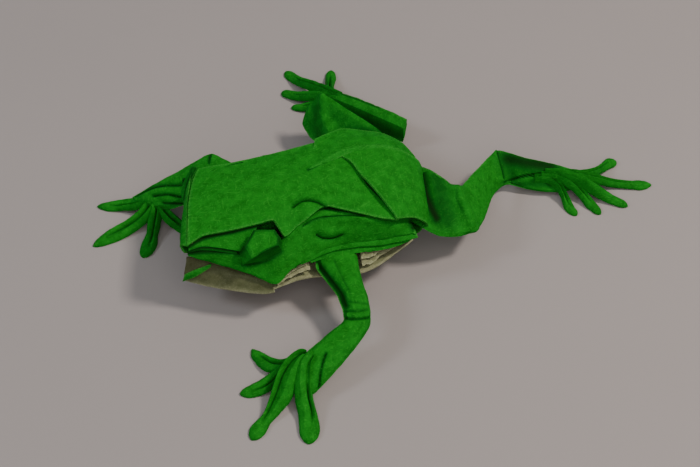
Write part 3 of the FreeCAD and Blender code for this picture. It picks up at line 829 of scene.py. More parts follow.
@dataclass
class Back:
    """The back: the long panel from snout to loin and the rump panels lapped over it.

    Attributes:
        ply: Thickness of the back's folded layers in millimetres.
    """

    ply: float = 0.5

    def long_panel(self) -> None:
        """Makes the panel from the snout's edge to under the rump, with its near edge lifted."""
        rows = [
            [(-44.4, -12.1, 21.0), (-43.9, -10.0, 21.4), (-42.8, -4.5, 22.0), (-41.4, 2.0, 22.2),
             (-39.2, 9.0, 21.9), (-37.0, 13.8, 21.6)],
            [(-39.9, -10.7, 22.1), (-39.3, -9.2, 22.6), (-38.2, -4.5, 23.0), (-37.0, 1.8, 23.1),
             (-35.6, 8.6, 22.7), (-34.2, 13.7, 21.9)],
            [(-32.5, -11.8, 23.5), (-32.1, -10.0, 23.8), (-31.2, -5.0, 24.1), (-30.6, 1.4, 24.1),
             (-29.6, 8.0, 23.4), (-28.4, 13.1, 22.4)],
            [(-25.3, -11.9, 24.2), (-25.0, -9.8, 24.5), (-24.4, -5.0, 24.8), (-24.0, 1.0, 24.9),
             (-23.2, 7.7, 24.0), (-22.2, 12.9, 22.9)],
            [(-21.6, -12.1, 24.6), (-21.4, -9.6, 24.8), (-20.9, -4.8, 25.1), (-20.4, 1.0, 25.2),
             (-19.6, 7.7, 24.3), (-18.6, 12.9, 23.2)],
            [(-19.5, -15.2, 21.2), (-18.6, -10.0, 24.5), (-17.8, -4.8, 25.3), (-17.0, 1.0, 25.4),
             (-16.2, 7.7, 24.6), (-15.2, 12.9, 23.4)],
            [(-16.1, -13.4, 21.8), (-15.6, -9.4, 24.4), (-14.8, -4.6, 25.5), (-14.2, 1.0, 25.6),
             (-13.4, 7.7, 24.8), (-12.4, 13.0, 23.6)],
            [(-13.8, -12.8, 22.9), (-13.0, -8.7, 25.0), (-12.2, -4.4, 25.8), (-11.6, 1.2, 25.9),
             (-10.8, 7.8, 25.0), (-9.8, 13.1, 23.9)],
            [(-7.9, -10.5, 24.9), (-7.7, -8.6, 25.4), (-7.2, -4.4, 25.9), (-6.4, 1.4, 26.0),
             (-5.4, 8.0, 25.3), (-4.2, 13.3, 24.3)],
            [(-3.1, -12.6, 24.4), (-2.9, -10.6, 24.9), (-2.2, -5.6, 25.5), (-1.4, 0.8, 25.8),
             (0.0, 7.5, 25.3), (1.0, 13.0, 24.0)],
            [(1.8, -14.4, 23.3), (2.0, -12.0, 24.0), (2.6, -7.0, 24.9), (3.6, -0.6, 25.3), (4.8, 6.4, 24.9),
             (6.0, 12.0, 23.6)],
            [(6.0, -16.0, 22.3), (6.2, -13.6, 22.9), (6.8, -9.0, 23.6), (7.6, -3.0, 24.3), (8.9, 4.0, 24.2),
             (10.0, 9.0, 22.9)],
            [(10.4, -17.0, 21.5), (10.6, -15.0, 21.8), (11.0, -11.0, 22.3), (11.8, -5.4, 22.9),
             (12.8, 1.0, 22.9), (13.5, 6.0, 22.1)],
        ]
        # the pressed creases here carry painted shade; the raised ridges do not
        surface = sheet_surface(rows, self.ply, (0.5, 0.8), (9, 14), crumple=0.13, seed=3, scores=(
            Score([(-42.9, -10.9, 21.8), (-40.6, 1.0, 22.4), (-38.0, 12.6, 21.8)], -0.1, 0.5),
            Score([(-15.8, -8.9, 24.9), (-13.4, -7.8, 25.4), (-11.3, -8.2, 25.6), (-9.4, -9.2, 25.4),
                   (-7.6, -10.6, 24.9)], 0.9, 0.42),
            Score([(-15.4, -8.0, 25.1), (-13.2, -6.9, 25.6), (-11.0, -7.2, 25.8), (-8.8, -8.3, 25.6)],
                  -0.35, 0.5),
            Score([(-9.2, 2.2, 26.0), (-6.0, 3.4, 26.0), (-3.0, 4.6, 26.0)], 0.25, 0.35),
        ))
        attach(make_piece("back_long_panel", surface, Paper.GREEN, ("back_panel",)), "torso")

    def rump(self) -> None:
        """Makes the crest facet along the far side, and the facet that covers the hips."""
        crest = [
            [(-4.6, 14.3, 24.7), (3.2, 16.8, 24.3), (9.0, 15.2, 23.8), (14.3, 13.5, 23.1),
             (18.6, 9.6, 22.1), (21.0, 5.0, 20.7)],
            [(-6.6, 8.6, 24.9), (2.0, 11.4, 25.7), (8.3, 11.0, 25.5), (13.8, 10.2, 24.7), (18.1, 7.9, 23.0),
             (20.9, 4.4, 20.8)],
            [(-9.4, 2.5, 25.6), (0.7, 6.2, 26.7), (6.8, 6.6, 26.6), (12.5, 6.2, 25.9), (17.4, 5.0, 23.9),
             (20.9, 3.8, 20.9)],
            [(-8.4, 2.2, 25.0), (1.2, 5.2, 25.9), (7.2, 5.5, 26.0), (12.7, 5.3, 25.3), (17.2, 4.1, 23.3),
             (20.8, 3.2, 20.4)],
        ]
        surface = sheet_surface(crest, self.ply, (0.3, 0.7), (12, 12), crumple=0.12, seed=7,
                                creased_rows=(2,))
        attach(make_piece("rump_crest", surface, Paper.GREEN), "torso")
        cover = [
            [(-0.2, 6.2, 25.7), (6.5, 6.4, 26.3), (12.5, 6.0, 25.7), (17.4, 5.0, 23.8), (21.2, 3.8, 20.9),
             (22.4, 3.2, 18.2)],
            [(2.3, 2.4, 26.2), (8.0, 1.5, 26.2), (13.0, 0.8, 25.3), (17.5, 0.4, 23.4), (20.9, 0.0, 19.9),
             (22.0, -0.4, 16.4)],
            [(3.9, -3.4, 26.3), (9.0, -4.5, 25.3), (13.0, -5.0, 24.2), (17.0, -5.2, 22.3),
             (20.4, -5.4, 18.7), (21.4, -5.8, 14.8)],
            [(6.5, -9.6, 25.2), (10.5, -10.3, 23.9), (13.5, -10.6, 22.7), (16.5, -10.6, 21.1),
             (19.8, -10.7, 17.0), (20.6, -10.8, 13.4)],
            [(9.9, -17.2, 22.3), (11.6, -16.6, 21.5), (13.5, -15.9, 20.5), (15.7, -15.2, 19.0),
             (18.6, -14.8, 16.0), (19.4, -14.4, 13.4)],
        ]
        surface = sheet_surface(cover, self.ply, (0.8, 0.8), (12, 12), crumple=0.14, seed=9, scores=(
            Score([(20.6, 2.5, 20.6), (19.7, -4.5, 19.6), (18.8, -10.5, 18.4)], -0.25, 0.6),
            Score([(12.0, -2.0, 25.0), (14.5, -9.0, 23.0)], -0.15, 0.8),
            Score([(4.4, -5.0, 25.6), (7.0, -10.6, 24.4), (9.4, -16.0, 22.6)], -0.3, 0.8),
        ))
        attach(make_piece("rump_cover", surface, Paper.GREEN, ("rump_panel",)), "torso")

    def rump_shadow_fold(self) -> None:
        """Makes the narrow fold in the gap under the rump cover's open edge, painted dark all over as
        shade.
        """
        rows = [
            [(3.9, -1.6, 25.7), (4.2, -3.6, 25.4), (5.0, -6.6, 25.0), (7.8, -11.6, 23.6),
             (10.2, -16.4, 22.0)],
            [(4.4, -1.6, 25.8), (4.8, -3.6, 25.5), (5.8, -6.4, 25.1), (8.5, -11.4, 23.7),
             (10.8, -16.2, 22.0)],
            [(6.2, -1.2, 25.7), (6.6, -3.2, 25.4), (7.6, -6.0, 24.9), (10.4, -11.0, 23.1),
             (12.2, -15.8, 21.4)],
        ]
        # every row is tucked, so the whole fold is painted as shade in the gap
        surface = sheet_surface(rows, 0.25, (0.4, 0.8), (6, 10), crumple=0.05, seed=11,
                                tucked_rows=(0, 1, 2))
        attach(make_piece("rump_gap_painted_shade_fold", surface, Paper.GREEN), "torso")

    def hind_fold(self) -> None:
        """Makes the layer that closes the rump down to the belly behind."""
        rows = [
            [(18.4, -14.2, 14.6), (19.8, -3.4, 18.0), (20.2, 3.2, 19.4), (17.8, 8.8, 20.8),
             (13.0, 12.2, 21.8), (6.0, 13.8, 22.4)],
            [(17.4, -14.4, 12.9), (18.2, -2.8, 13.6), (18.4, 3.0, 14.8), (16.0, 7.8, 15.8),
             (11.8, 11.4, 17.2), (5.0, 13.6, 17.8)],
            [(15.4, -14.0, 11.0), (15.6, -2.4, 9.5), (15.6, 2.6, 9.5), (14.4, 8.0, 10.2),
             (10.2, 11.6, 11.6), (4.4, 14.6, 12.0)],
        ]
        surface = sheet_surface(rows, 0.4, (0.7, 0.8), (9, 9), crumple=0.16, seed=18)
        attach(make_piece("rump_hind_fold", surface, Paper.GREEN), "torso")

    def inner_fold(self) -> None:
        """Makes the dark inner layer that closes the head and belly under the back, with shade painted
        along its near edge.
        """
        rows = [
            [(-42.6, -9.6, 18.9), (-34.0, -10.8, 18.4), (-26.0, -11.0, 19.8), (-18.0, -11.4, 19.6),
             (-6.0, -11.6, 20.4), (6.0, -12.4, 19.0), (13.4, -12.2, 17.8)],
            [(-40.6, 0.4, 19.4), (-33.0, 0.8, 20.6), (-25.0, 0.8, 21.6), (-18.0, 0.8, 22.0),
             (-6.0, 0.8, 22.4), (6.0, 0.8, 21.0), (14.0, 0.8, 19.2)],
            [(-38.0, 11.0, 18.9), (-32.0, 11.2, 19.2), (-25.0, 11.2, 19.8), (-18.0, 11.2, 20.2),
             (-6.0, 11.4, 20.6), (6.0, 9.8, 19.6), (13.0, 6.0, 18.4)],
        ]
        # painted shade along the near edge, under the back
        surface = sheet_surface(rows, 0.4, (0.7, 0.8), (12, 8), crumple=0.12, seed=16, tucked_rows=(0,))
        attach(make_piece("head_inner_fold", surface, Paper.GREEN), "torso")

    def far_fold(self) -> None:
        """Makes the layer that closes the far side, from under the back's far edge to the flank."""
        rows = [
            [(-36.8, 12.4, 21.2), (-28.4, 12.4, 22.0), (-22.2, 12.2, 22.5), (-15.2, 12.0, 23.0),
             (-9.8, 11.6, 23.4)],
            [(-36.6, 13.2, 19.2), (-29.0, 13.7, 19.4), (-22.8, 13.7, 20.0), (-15.6, 12.8, 21.2),
             (-10.0, 11.2, 22.4)],
            [(-36.4, 13.4, 16.4), (-29.4, 14.2, 16.4), (-23.2, 14.2, 17.2), (-16.0, 13.2, 19.2),
             (-10.4, 10.8, 21.2)],
        ]
        surface = sheet_surface(rows, 0.4, (0.7, 0.8), (9, 9), crumple=0.14, seed=19)
        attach(make_piece("head_far_fold", surface, Paper.GREEN), "torso")

    def snout(self) -> None:
        """Makes the doubled hem that turns under the snout's front edge, and its curled corner."""
        hem = [
            [(-44.3, -12.0, 20.8), (-42.9, -4.8, 21.7), (-41.0, 4.6, 21.8), (-38.6, 13.9, 21.2)],
            [(-45.9, -10.6, 19.8), (-44.3, -4.0, 20.4), (-41.9, 4.8, 20.6), (-39.2, 13.8, 20.2)],
            [(-45.2, -11.4, 18.0), (-43.2, -4.4, 18.4), (-41.0, 4.6, 18.6), (-38.6, 13.4, 18.4)],
            [(-43.6, -11.2, 17.6), (-41.8, -4.0, 17.9), (-39.8, 4.4, 18.0), (-37.6, 12.8, 17.8)],
        ]
        # the crease along the hem carries painted shade
        surface = sheet_surface(hem, 0.6, (0.6, 0.9), (10, 16), crumple=0.12, seed=12, scores=(
            Score([(-45.4, -8.0, 19.4), (-43.0, 2.0, 19.8), (-40.4, 10.0, 19.6)], 0.3, 0.35),))
        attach(make_piece("snout_front_hem", surface, Paper.GREEN, ("snout_hem",)), "torso")
        curl = [
            [(-36.9, 14.0, 22.2), (-38.6, 11.4, 22.0), (-39.9, 8.2, 21.8), (-41.0, 4.4, 21.4)],
            [(-37.6, 14.6, 22.3), (-39.5, 11.8, 21.9), (-41.1, 8.2, 21.1), (-42.1, 4.2, 20.4)],
            [(-38.6, 14.8, 21.4), (-40.8, 12.0, 20.7), (-42.4, 8.2, 19.9), (-42.6, 4.6, 19.4)],
            [(-38.6, 14.0, 20.2), (-40.6, 11.6, 19.5), (-41.9, 7.8, 18.9), (-42.0, 4.8, 18.8)],
        ]
        # painted shade in the curl's inner folds, along its three creases
        surface = sheet_surface(curl, 0.4, (0.7, 0.9), (8, 10), crumple=0.08, seed=14, scores=(
            Score([(-37.6, 14.0, 22.0), (-39.6, 10.8, 21.6), (-41.4, 6.2, 20.9)], 0.5, 0.5, 1.0),
            Score([(-38.8, 13.8, 21.0), (-41.0, 10.2, 20.2), (-42.2, 5.4, 19.6)], 0.45, 0.45, 1.0),
            Score([(-38.0, 14.0, 21.6), (-40.2, 11.0, 20.9), (-41.6, 8.0, 20.2)], 0.1, 1.3, 0.7)))
        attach(make_piece("snout_corner_curl", surface, Paper.GREEN), "torso")

    def make(self) -> None:
        """Makes every piece of the back."""
        self.long_panel()
        self.rump()
        self.rump_shadow_fold()
        self.inner_fold()
        self.hind_fold()
        self.far_fold()
        self.snout()


@dataclass
class Flank:
    """One side of the torso: lore, lips, cheek, eye fold and pleats.

    Attributes:
        side: left or right.
        ply: Thickness of the flank's folded layers in millimetres.
    """

    side: str
    ply: float = 0.5

    def across(self, points: list[Points], limit: float = 15.6) -> list[Points]:
        """Gives the same net on this side; the far side is drawn in closer to the spine.

        Args:
            points: Rows of points of the left side.
            limit: How far out the far side may reach, in millimetres.

        Returns:
            The rows on this side.
        """
        if self.side == "left":
            return points
        return [[(x + 3.0 * max(0.0, (-20.0 - x) / 24.0), min(-y * 0.94 + 1.5, limit), z)
                 for x, y, z in row] for row in points]

    def lore(self) -> None:
        """Makes the facet between the back's edge and the mouth, and the thin lip under it."""
        rows = [
            [(-43.9, -11.5, 20.3), (-40.2, -10.4, 21.2), (-36.2, -10.6, 22.0), (-31.0, -11.0, 22.7),
             (-25.6, -11.0, 23.2)],
            [(-44.1, -12.0, 20.0), (-40.4, -11.5, 20.6), (-36.6, -12.0, 20.6), (-31.4, -12.9, 20.5),
             (-27.2, -13.3, 20.8)],
            [(-44.3, -12.4, 19.6), (-40.7, -12.3, 20.2), (-37.2, -13.3, 20.0), (-32.0, -14.7, 18.8),
             (-29.0, -15.6, 17.8)],
            [(-43.8, -11.6, 19.3), (-40.4, -11.5, 19.5), (-36.8, -12.2, 19.4), (-31.8, -13.6, 18.3),
             (-28.8, -14.6, 17.2)],
        ]
        name = f"{self.side}_lore_facet"
        # painted shade along the top row, under the back's overhanging edge, and along the turned-under
        # bottom row
        surface = sheet_surface(self.across(rows), 0.4, (0.35, 0.8), (9, 10), crumple=0.12, seed=21,
                                tucked_rows=(0, 3))
        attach(make_piece(name, surface, Paper.GREEN), "torso")
        lip = [
            [(-44.3, -12.2, 19.4), (-40.8, -12.3, 20.1), (-37.0, -13.1, 19.8), (-32.0, -14.5, 18.6)],
            [(-44.6, -12.5, 19.0), (-41.0, -12.9, 19.5), (-37.4, -13.7, 19.1), (-32.2, -15.1, 18.0)],
            [(-44.0, -11.9, 18.7), (-40.6, -12.2, 19.0), (-37.0, -12.9, 18.6), (-32.0, -14.3, 17.6)],
        ]
        # painted shade along both edges of the lip, in the gaps above and below it
        surface = sheet_surface(self.across(lip), 0.3, (0.6, 0.8), (6, 10), crumple=0.05, seed=23,
                                tucked_rows=(0, 2))
        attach(make_piece(f"{self.side}_upper_lip", surface, Paper.GREEN), "torso")

    def cheek_and_flank(self) -> None:
        """Makes the wide sheet from the lower lip past the ear to the hip, and the pleats under it."""
        rows = [
            [(-44.4, -12.0, 18.7), (-38.2, -13.1, 18.9), (-32.0, -14.3, 17.9), (-28.5, -14.8, 17.2),
             (-23.4, -14.6, 18.8), (-18.8, -13.8, 20.4), (-14.6, -11.6, 21.6), (-9.8, -9.8, 23.4),
             (-4.0, -11.2, 23.2), (1.5, -13.0, 22.3), (6.5, -14.0, 21.2), (11.0, -13.6, 20.4),
             (14.4, -12.6, 18.8)],
            [(-44.6, -12.3, 18.5), (-38.4, -13.6, 18.5), (-32.2, -15.3, 17.2), (-28.8, -16.6, 16.2),
             (-23.6, -17.2, 17.9), (-18.9, -15.4, 20.4), (-14.2, -13.0, 22.2), (-9.0, -12.4, 23.0),
             (-3.5, -13.4, 22.7), (1.5, -14.7, 22.0), (6.5, -16.0, 20.4), (11.3, -16.2, 18.4),
             (14.8, -15.2, 16.4)],
            [(-44.6, -12.5, 18.2), (-38.6, -14.1, 17.3), (-32.3, -16.3, 15.2), (-28.9, -18.0, 14.5),
             (-23.6, -20.0, 14.9), (-19.2, -18.2, 17.0), (-13.5, -15.6, 18.6), (-8.5, -15.1, 18.9),
             (-3.5, -15.5, 18.8), (1.5, -16.0, 18.5), (6.5, -16.9, 18.0), (11.5, -16.9, 17.2),
             (15.2, -16.3, 15.8)],
            [(-44.4, -12.7, 17.9), (-38.8, -14.4, 15.9), (-32.4, -17.0, 13.9), (-28.9, -19.0, 13.1),
             (-23.5, -22.4, 12.0), (-18.8, -20.2, 14.4), (-13.0, -17.9, 15.2), (-9.0, -16.8, 15.7),
             (-4.5, -16.5, 15.9), (1.0, -16.8, 15.9), (6.0, -17.3, 15.9), (11.5, -17.5, 16.1),
             (15.2, -17.4, 15.6)],
            [(-43.6, -11.8, 17.8), (-38.2, -13.0, 15.9), (-31.8, -15.4, 14.0), (-28.4, -17.0, 13.3),
             (-23.2, -19.6, 12.5), (-18.4, -18.2, 14.6), (-12.8, -16.2, 15.5), (-8.8, -15.2, 16.0),
             (-4.5, -15.0, 16.2), (1.0, -15.3, 16.2), (6.0, -15.7, 16.2), (11.3, -15.8, 16.3),
             (14.6, -15.6, 15.9)],
        ]
        scores = (
            Score([(-14.4, -13.3, 22.0), (-11.0, -12.6, 22.8), (-7.0, -12.6, 22.9), (-2.0, -13.4, 22.8),
                   (1.8, -14.2, 22.5)], 0.45, 0.3),
            Score([(-10.9, -14.6, 18.9), (-9.6, -15.6, 18.3), (-6.8, -16.2, 18.2), (-4.4, -16.0, 18.7)],
                  0.8, 0.36),
            Score([(-9.2, -14.4, 20.2), (-7.0, -15.2, 19.4), (-4.6, -15.3, 19.8)], -0.5, 0.8),
            Score([(-24.0, -20.4, 14.8), (-19.8, -19.0, 15.8), (-16.0, -17.6, 16.8)], -0.3, 0.8),
            Score([(14.6, -14.6, 17.2), (15.3, -16.6, 15.8), (15.7, -17.9, 14.5)], 0.2, 1.2),
            Score([(-31.2, -17.0, 15.4), (-25.6, -18.4, 16.6), (-21.0, -17.8, 18.6)], 0.3, 0.6, 0.8),
        ) if self.side == "left" else ()
        # painted shade along the first row, tucked under the back's edge, along the last, turned in under
        # the sheet, and along the pressed creases
        surface = sheet_surface(self.across(rows), self.ply, (0.45, 0.85), (9, 10), scores, crumple=0.2,
                                seed=31, tucked_rows=(0, 4))
        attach(make_piece(f"{self.side}_cheek_and_flank", surface, Paper.GREEN,
                           (f"{self.side}_cheek_panel", f"{self.side}_flank_upper_pleat")), "torso")
        under = [
            [(-18.6, -18.4, 15.4), (-12.8, -16.4, 16.2), (-9.0, -15.4, 16.6), (-4.4, -15.2, 16.8),
             (1.0, -15.5, 16.8), (6.0, -15.9, 16.8), (11.4, -16.0, 16.8), (15.0, -15.8, 16.4)],
            [(-18.8, -20.0, 13.9), (-12.9, -18.3, 14.3), (-9.0, -17.4, 14.7), (-4.4, -17.2, 14.9),
             (1.0, -17.6, 14.8), (6.0, -18.2, 14.7), (11.5, -18.3, 14.9), (15.6, -17.9, 14.6)],
            [(-18.4, -17.6, 14.0), (-12.7, -16.0, 14.6), (-9.0, -15.0, 15.0), (-4.4, -14.8, 15.2),
             (1.0, -15.1, 15.2), (6.0, -15.6, 15.1), (11.3, -15.8, 15.3), (14.8, -15.6, 15.0)],
        ]
        # painted shade along the pleat's top and bottom rows, under the edge of the sheet above
        surface = sheet_surface(self.across(under), self.ply, (0.4, 0.85), (8, 11), crumple=0.16, seed=35,
                                tucked_rows=(0, 2))
        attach(make_piece(f"{self.side}_second_pleat", surface, Paper.GREEN,
                           (f"{self.side}_flank_under_pleat",)), "torso")
        third = [
            [(-13.4, -16.0, 14.6), (-8.0, -15.4, 14.8), (-2.0, -15.4, 14.9), (4.0, -15.9, 14.9),
             (9.0, -16.2, 15.0), (13.6, -16.2, 15.0)],
            [(-13.6, -18.5, 13.3), (-8.2, -18.1, 13.5), (-2.2, -18.3, 13.5), (4.0, -18.9, 13.4),
             (9.4, -18.7, 13.6), (14.0, -17.9, 14.0)],
            [(-13.0, -15.8, 13.8), (-8.0, -15.2, 14.0), (-2.0, -15.2, 14.1), (4.0, -15.8, 14.0),
             (9.0, -16.0, 14.1), (13.4, -15.8, 14.3)],
        ]
        # painted shade along the pleat's top and bottom rows, under the edge of the sheet above
        surface = sheet_surface(self.across(third, 13.4), 0.4, (0.4, 0.85), (7, 11), crumple=0.14, seed=37,
                                tucked_rows=(0, 2))
        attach(make_piece(f"{self.side}_third_pleat", surface, Paper.GREEN), "torso")

    def eye(self) -> None:
        """Makes the eye fold, a faceted box pleat that stands up over the cheek."""
        crown = [(-27.2, -13.3, 23.8), (-22.0, -14.8, 24.2), (-21.0, -16.8, 23.2), (-21.8, -18.6, 22.2),
                 (-24.9, -19.0, 21.8), (-29.0, -19.6, 20.2), (-30.3, -16.0, 21.4)]
        foot = [(-27.6, -12.6, 18.0), (-21.4, -13.6, 18.6), (-20.0, -15.6, 19.0), (-20.8, -17.6, 18.8),
                (-25.4, -18.1, 17.0), (-31.2, -17.2, 15.6), (-31.6, -15.0, 18.0)]
        crown, foot = (np.array(points) for points in self.across([crown, foot]))
        crown[:, 2] -= 0.0 if self.side == "left" else 3.6
        middle = crown.mean(axis=0)
        inner = middle + (crown - middle) * 0.12
        brim = middle + (crown - middle) * 0.9 + np.array([0.0, 0.0, 0.12])
        net = np.stack([inner, brim, crown, crown * 0.45 + foot * 0.55, foot])
        shape = np.concatenate([net, net[:, :1]], axis=1).swapaxes(0, 1)
        rings = resample(resample(shape, 6, 0.0).swapaxes(0, 1)[:, :-1], 6, 0.0)
        # painted shade along the eye box's front edge and over its top
        scores = (Score([tuple(foot[-1] + UP), tuple(crown[-1]), tuple(crown[0])], 0.05, 1.5, 0.9),
                  Score([tuple(middle + TOWARDS_CAMERA), tuple(crown[2])], 0.02, 3.6, 0.85))
        surface = tube_surface(rings, [], scores if self.side == "left" else (), crumple=0.16, seed=41)
        piece = make_piece(f"{self.side}_eye_box", surface, Paper.GREEN, (f"{self.side}_eye_fold",),
                           keep_angle=24.0)
        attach(piece, "torso")

    def make(self) -> None:
        """Makes every piece of this side."""
        self.lore()
        self.cheek_and_flank()
        self.eye()


@dataclass
class Underside:
    """The cream reverse of the sheet: belly, lower jaw and the crumpled layers between."""

    def belly(self) -> None:
        """Makes the belly sheet and the layers that show along its edge."""
        rows = [
            [(-24.9, -22.2, 9.4), (-18.0, -20.6, 9.6), (-11.8, -20.3, 9.0), (-6.0, -21.4, 8.9),
             (0.0, -21.6, 9.0), (4.5, -20.4, 9.2), (9.5, -18.0, 9.8), (15.0, -15.6, 11.4)],
            [(-23.4, -14.0, 8.6), (-18.0, -13.4, 8.6), (-11.8, -13.0, 8.5), (-6.0, -13.4, 8.4),
             (0.0, -13.4, 8.4), (4.5, -12.8, 8.5), (9.5, -11.6, 8.8), (15.4, -10.2, 9.8)],
            [(-23.4, 0.0, 8.2), (-18.0, 0.0, 8.2), (-11.8, 0.0, 8.1), (-6.0, 0.0, 8.1), (0.0, 0.0, 8.1),
             (4.5, 0.0, 8.2), (9.5, 0.0, 8.4), (15.4, 0.0, 9.0)],
            [(-23.4, 13.0, 8.6), (-18.0, 12.6, 8.5), (-11.8, 12.2, 8.4), (-6.0, 12.4, 8.4),
             (0.0, 12.2, 8.4), (4.5, 11.2, 8.5), (9.5, 9.4, 8.8), (15.4, 7.4, 9.6)],
            [(-23.4, 20.6, 9.0), (-18.0, 19.4, 9.2), (-11.8, 18.8, 9.0), (-6.0, 18.8, 9.0),
             (0.0, 18.4, 9.0), (4.5, 16.8, 9.2), (9.5, 13.6, 9.6), (15.0, 10.4, 10.6)],
        ]
        surface = sheet_surface(rows, 0.5, (0.7, 0.8), (14, 10), crumple=0.25, seed=51, scores=(
            Score([(-23.0, 0.0, 8.2), (15.0, 0.0, 9.0)], -0.3, 0.5),))
        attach(make_piece("belly_sheet", surface, Paper.CREAM, ("belly_panel",)), "torso")
        self.layer("belly_layer_front", [(-23.2, -22.0, 10.4), (-20.4, -20.6, 10.6), (-17.0, -19.8, 11.2),
                                         (-13.9, -19.2, 11.6)], 3.0, 61)
        self.layer("belly_layer_inner", [(-22.0, -21.0, 11.6), (-18.6, -19.6, 12.2), (-14.6, -18.6, 12.7)],
                   3.4, 63)
        self.layer("belly_layer_rear", [(-0.2, -20.6, 10.5), (1.8, -20.6, 10.6), (5.0, -19.2, 11.0),
                                        (9.5, -17.6, 11.8), (15.0, -16.4, 12.9)], 3.2, 65)
        self.layer("belly_layer_crumpled", [(-0.1, -19.5, 12.0), (2.0, -19.6, 12.0), (4.6, -18.8, 12.2),
                                            (8.0, -17.8, 12.6), (13.0, -17.2, 13.3)], 2.8, 67)

    def layer(self, name: str, edge: Points, depth: float, seed: int) -> None:
        """Makes one crumpled layer whose wavy edge shows under the hem.

        Args:
            name: The piece's name.
            edge: Points along its outer edge.
            depth: How far it runs in under the hem, in millimetres.
            seed: Seed of its crumpling.
        """
        draw = np.random.default_rng(seed)
        outer = resample(np.array(edge), 3, 0.8)
        outer[:, 1:] += draw.uniform(-0.22, 0.22, (len(outer), 2))
        inner = outer + np.array([0.0, depth, 0.5])
        middle = (outer + inner) / 2 + np.array([0.0, 0.0, 0.3]) + draw.uniform(-0.3, 0.3, (len(outer), 3))
        surface = sheet_surface([outer.tolist(), middle.tolist(), inner.tolist()], 0.3, (0.5, 0.4), (7, 6),
                                crumple=0.3, seed=seed)
        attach(make_piece(name, surface, Paper.CREAM), "torso")

    def inner_stack(self, pleats: int = 8, step: float = 1.5, inset: float = 1.4,
                    lift: float = 2.4) -> None:
        """Makes the stack of folded layers inside the head, in the room that the design gives it.

        Args:
            pleats: How many edges the stack shows in the open mouth.
            step: How far every second edge stands back, in millimetres.
            inset: How far its sides stay clear of the cheeks, in millimetres.
            lift: How far its bottom stays over the jaw's floor, in millimetres.
        """
        low, high = [np.array(corner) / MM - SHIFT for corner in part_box("inner_layers")]
        sides = np.linspace(low[1] + inset, high[1] - inset, 5)
        back = np.array([7.0, 0.8, 0.0, 0.8, 7.0])
        low[2] += lift
        rows = [[(low[0] + step * (edge % 2) + way, y, low[2] + (high[2] - low[2]) * edge / pleats)
                 for way, y in zip(back, sides)] for edge in range(pleats + 1)]
        surface = sheet_surface(rows, 0.3, (0.25, 0.5), (6, 8), crumple=0.3, seed=69)
        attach(make_piece("inner_pleat_stack", surface, Paper.CREAM, ("inner_layers",)), "torso")

    def jaw(self) -> None:
        """Makes the lower jaw: a flat floor with side walls and the green fold at its corner."""
        floor = [
            [(-46.2, -12.9, 8.9), (-44.0, -6.0, 8.7), (-42.2, 0.0, 8.6), (-41.0, 5.6, 8.7),
             (-38.8, 10.2, 8.9)],
            [(-41.6, -15.9, 9.0), (-38.6, -7.6, 8.5), (-37.6, 0.0, 8.4), (-36.6, 6.2, 8.5),
             (-35.2, 11.6, 9.0)],
            [(-34.0, -19.8, 9.1), (-31.8, -9.6, 8.5), (-31.2, 0.0, 8.3), (-30.6, 8.0, 8.5),
             (-30.0, 15.0, 9.0)],
            [(-27.4, -22.5, 9.2), (-27.2, -11.0, 8.6), (-27.0, 0.0, 8.3), (-27.0, 10.2, 8.6),
             (-26.8, 19.8, 9.0)],
            [(-24.2, -22.9, 9.3), (-24.2, -11.4, 8.7), (-24.2, 0.0, 8.4), (-24.2, 10.8, 8.7),
             (-24.2, 20.6, 9.1)],
        ]
        surface = sheet_surface(floor, 0.5, (0.8, 0.6), (9, 14), crumple=0.22, seed=71)
        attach(make_piece("jaw_floor", surface, Paper.CREAM, ("lower_jaw",)), "jaw")
        wall = [
            [(-46.3, -12.9, 9.0), (-41.8, -15.8, 9.1), (-34.0, -19.7, 9.2), (-27.4, -22.4, 9.3),
             (-24.4, -22.8, 9.4)],
            [(-45.9, -12.5, 12.0), (-41.4, -14.6, 11.2), (-33.8, -17.8, 10.8), (-27.4, -20.5, 10.6),
             (-24.4, -21.2, 10.6)],
            [(-45.2, -12.0, 14.8), (-40.6, -13.0, 13.4), (-33.4, -15.2, 12.1), (-27.4, -17.6, 11.4),
             (-24.4, -18.8, 11.2)],
            [(-44.9, -11.4, 16.2), (-40.0, -11.8, 14.6), (-33.0, -13.6, 12.8), (-27.4, -16.0, 11.8),
             (-24.4, -17.2, 11.5)],
        ]
        # the upper rows of the wall are darkened towards the olive shade colour: partly painted shade, as
        # this side faces away from the key light, and partly the green dye that shows through the paper
        surface = sheet_surface(wall, 0.45, (0.8, 0.8), (9, 12), crumple=0.24, seed=73, creased_rows=(0,),
                                tucked_rows=(1, 2, 3), tuck=(2.8, 0.86))
        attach(make_piece("jaw_left_wall", surface, Paper.CREAM), "jaw")
        # the far wall is drawn in and lies lower, most of all towards the snout
        far = [[(x + 7.2, -y * 0.74, 9.0 + (z - 9.0) * 0.3) for x, y, z in row[:3]]
               + [(x, -y * 0.76, 9.0 + (z - 9.0) * 0.4) for x, y, z in row[3:]] for row in wall]
        surface = sheet_surface(far, 0.45, (0.8, 0.8), (9, 12), crumple=0.24, seed=75, creased_rows=(0,))
        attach(make_piece("jaw_right_wall", surface, Paper.CREAM), "jaw")
        turned = [
            [(-46.8, -13.3, 9.1), (-43.4, -14.4, 11.3), (-39.2, -14.2, 13.6)],
            [(-46.4, -13.4, 10.4), (-43.3, -14.1, 12.3), (-39.0, -13.9, 14.0)],
            [(-45.9, -12.9, 11.2), (-43.0, -13.5, 13.0), (-38.9, -13.6, 14.2)],
        ]
        surface = sheet_surface(turned, 0.4, (0.7, 0.6), (6, 14), crumple=0.08, seed=77)
        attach(make_piece("jaw_corner_fold", surface, Paper.GREEN), "jaw")

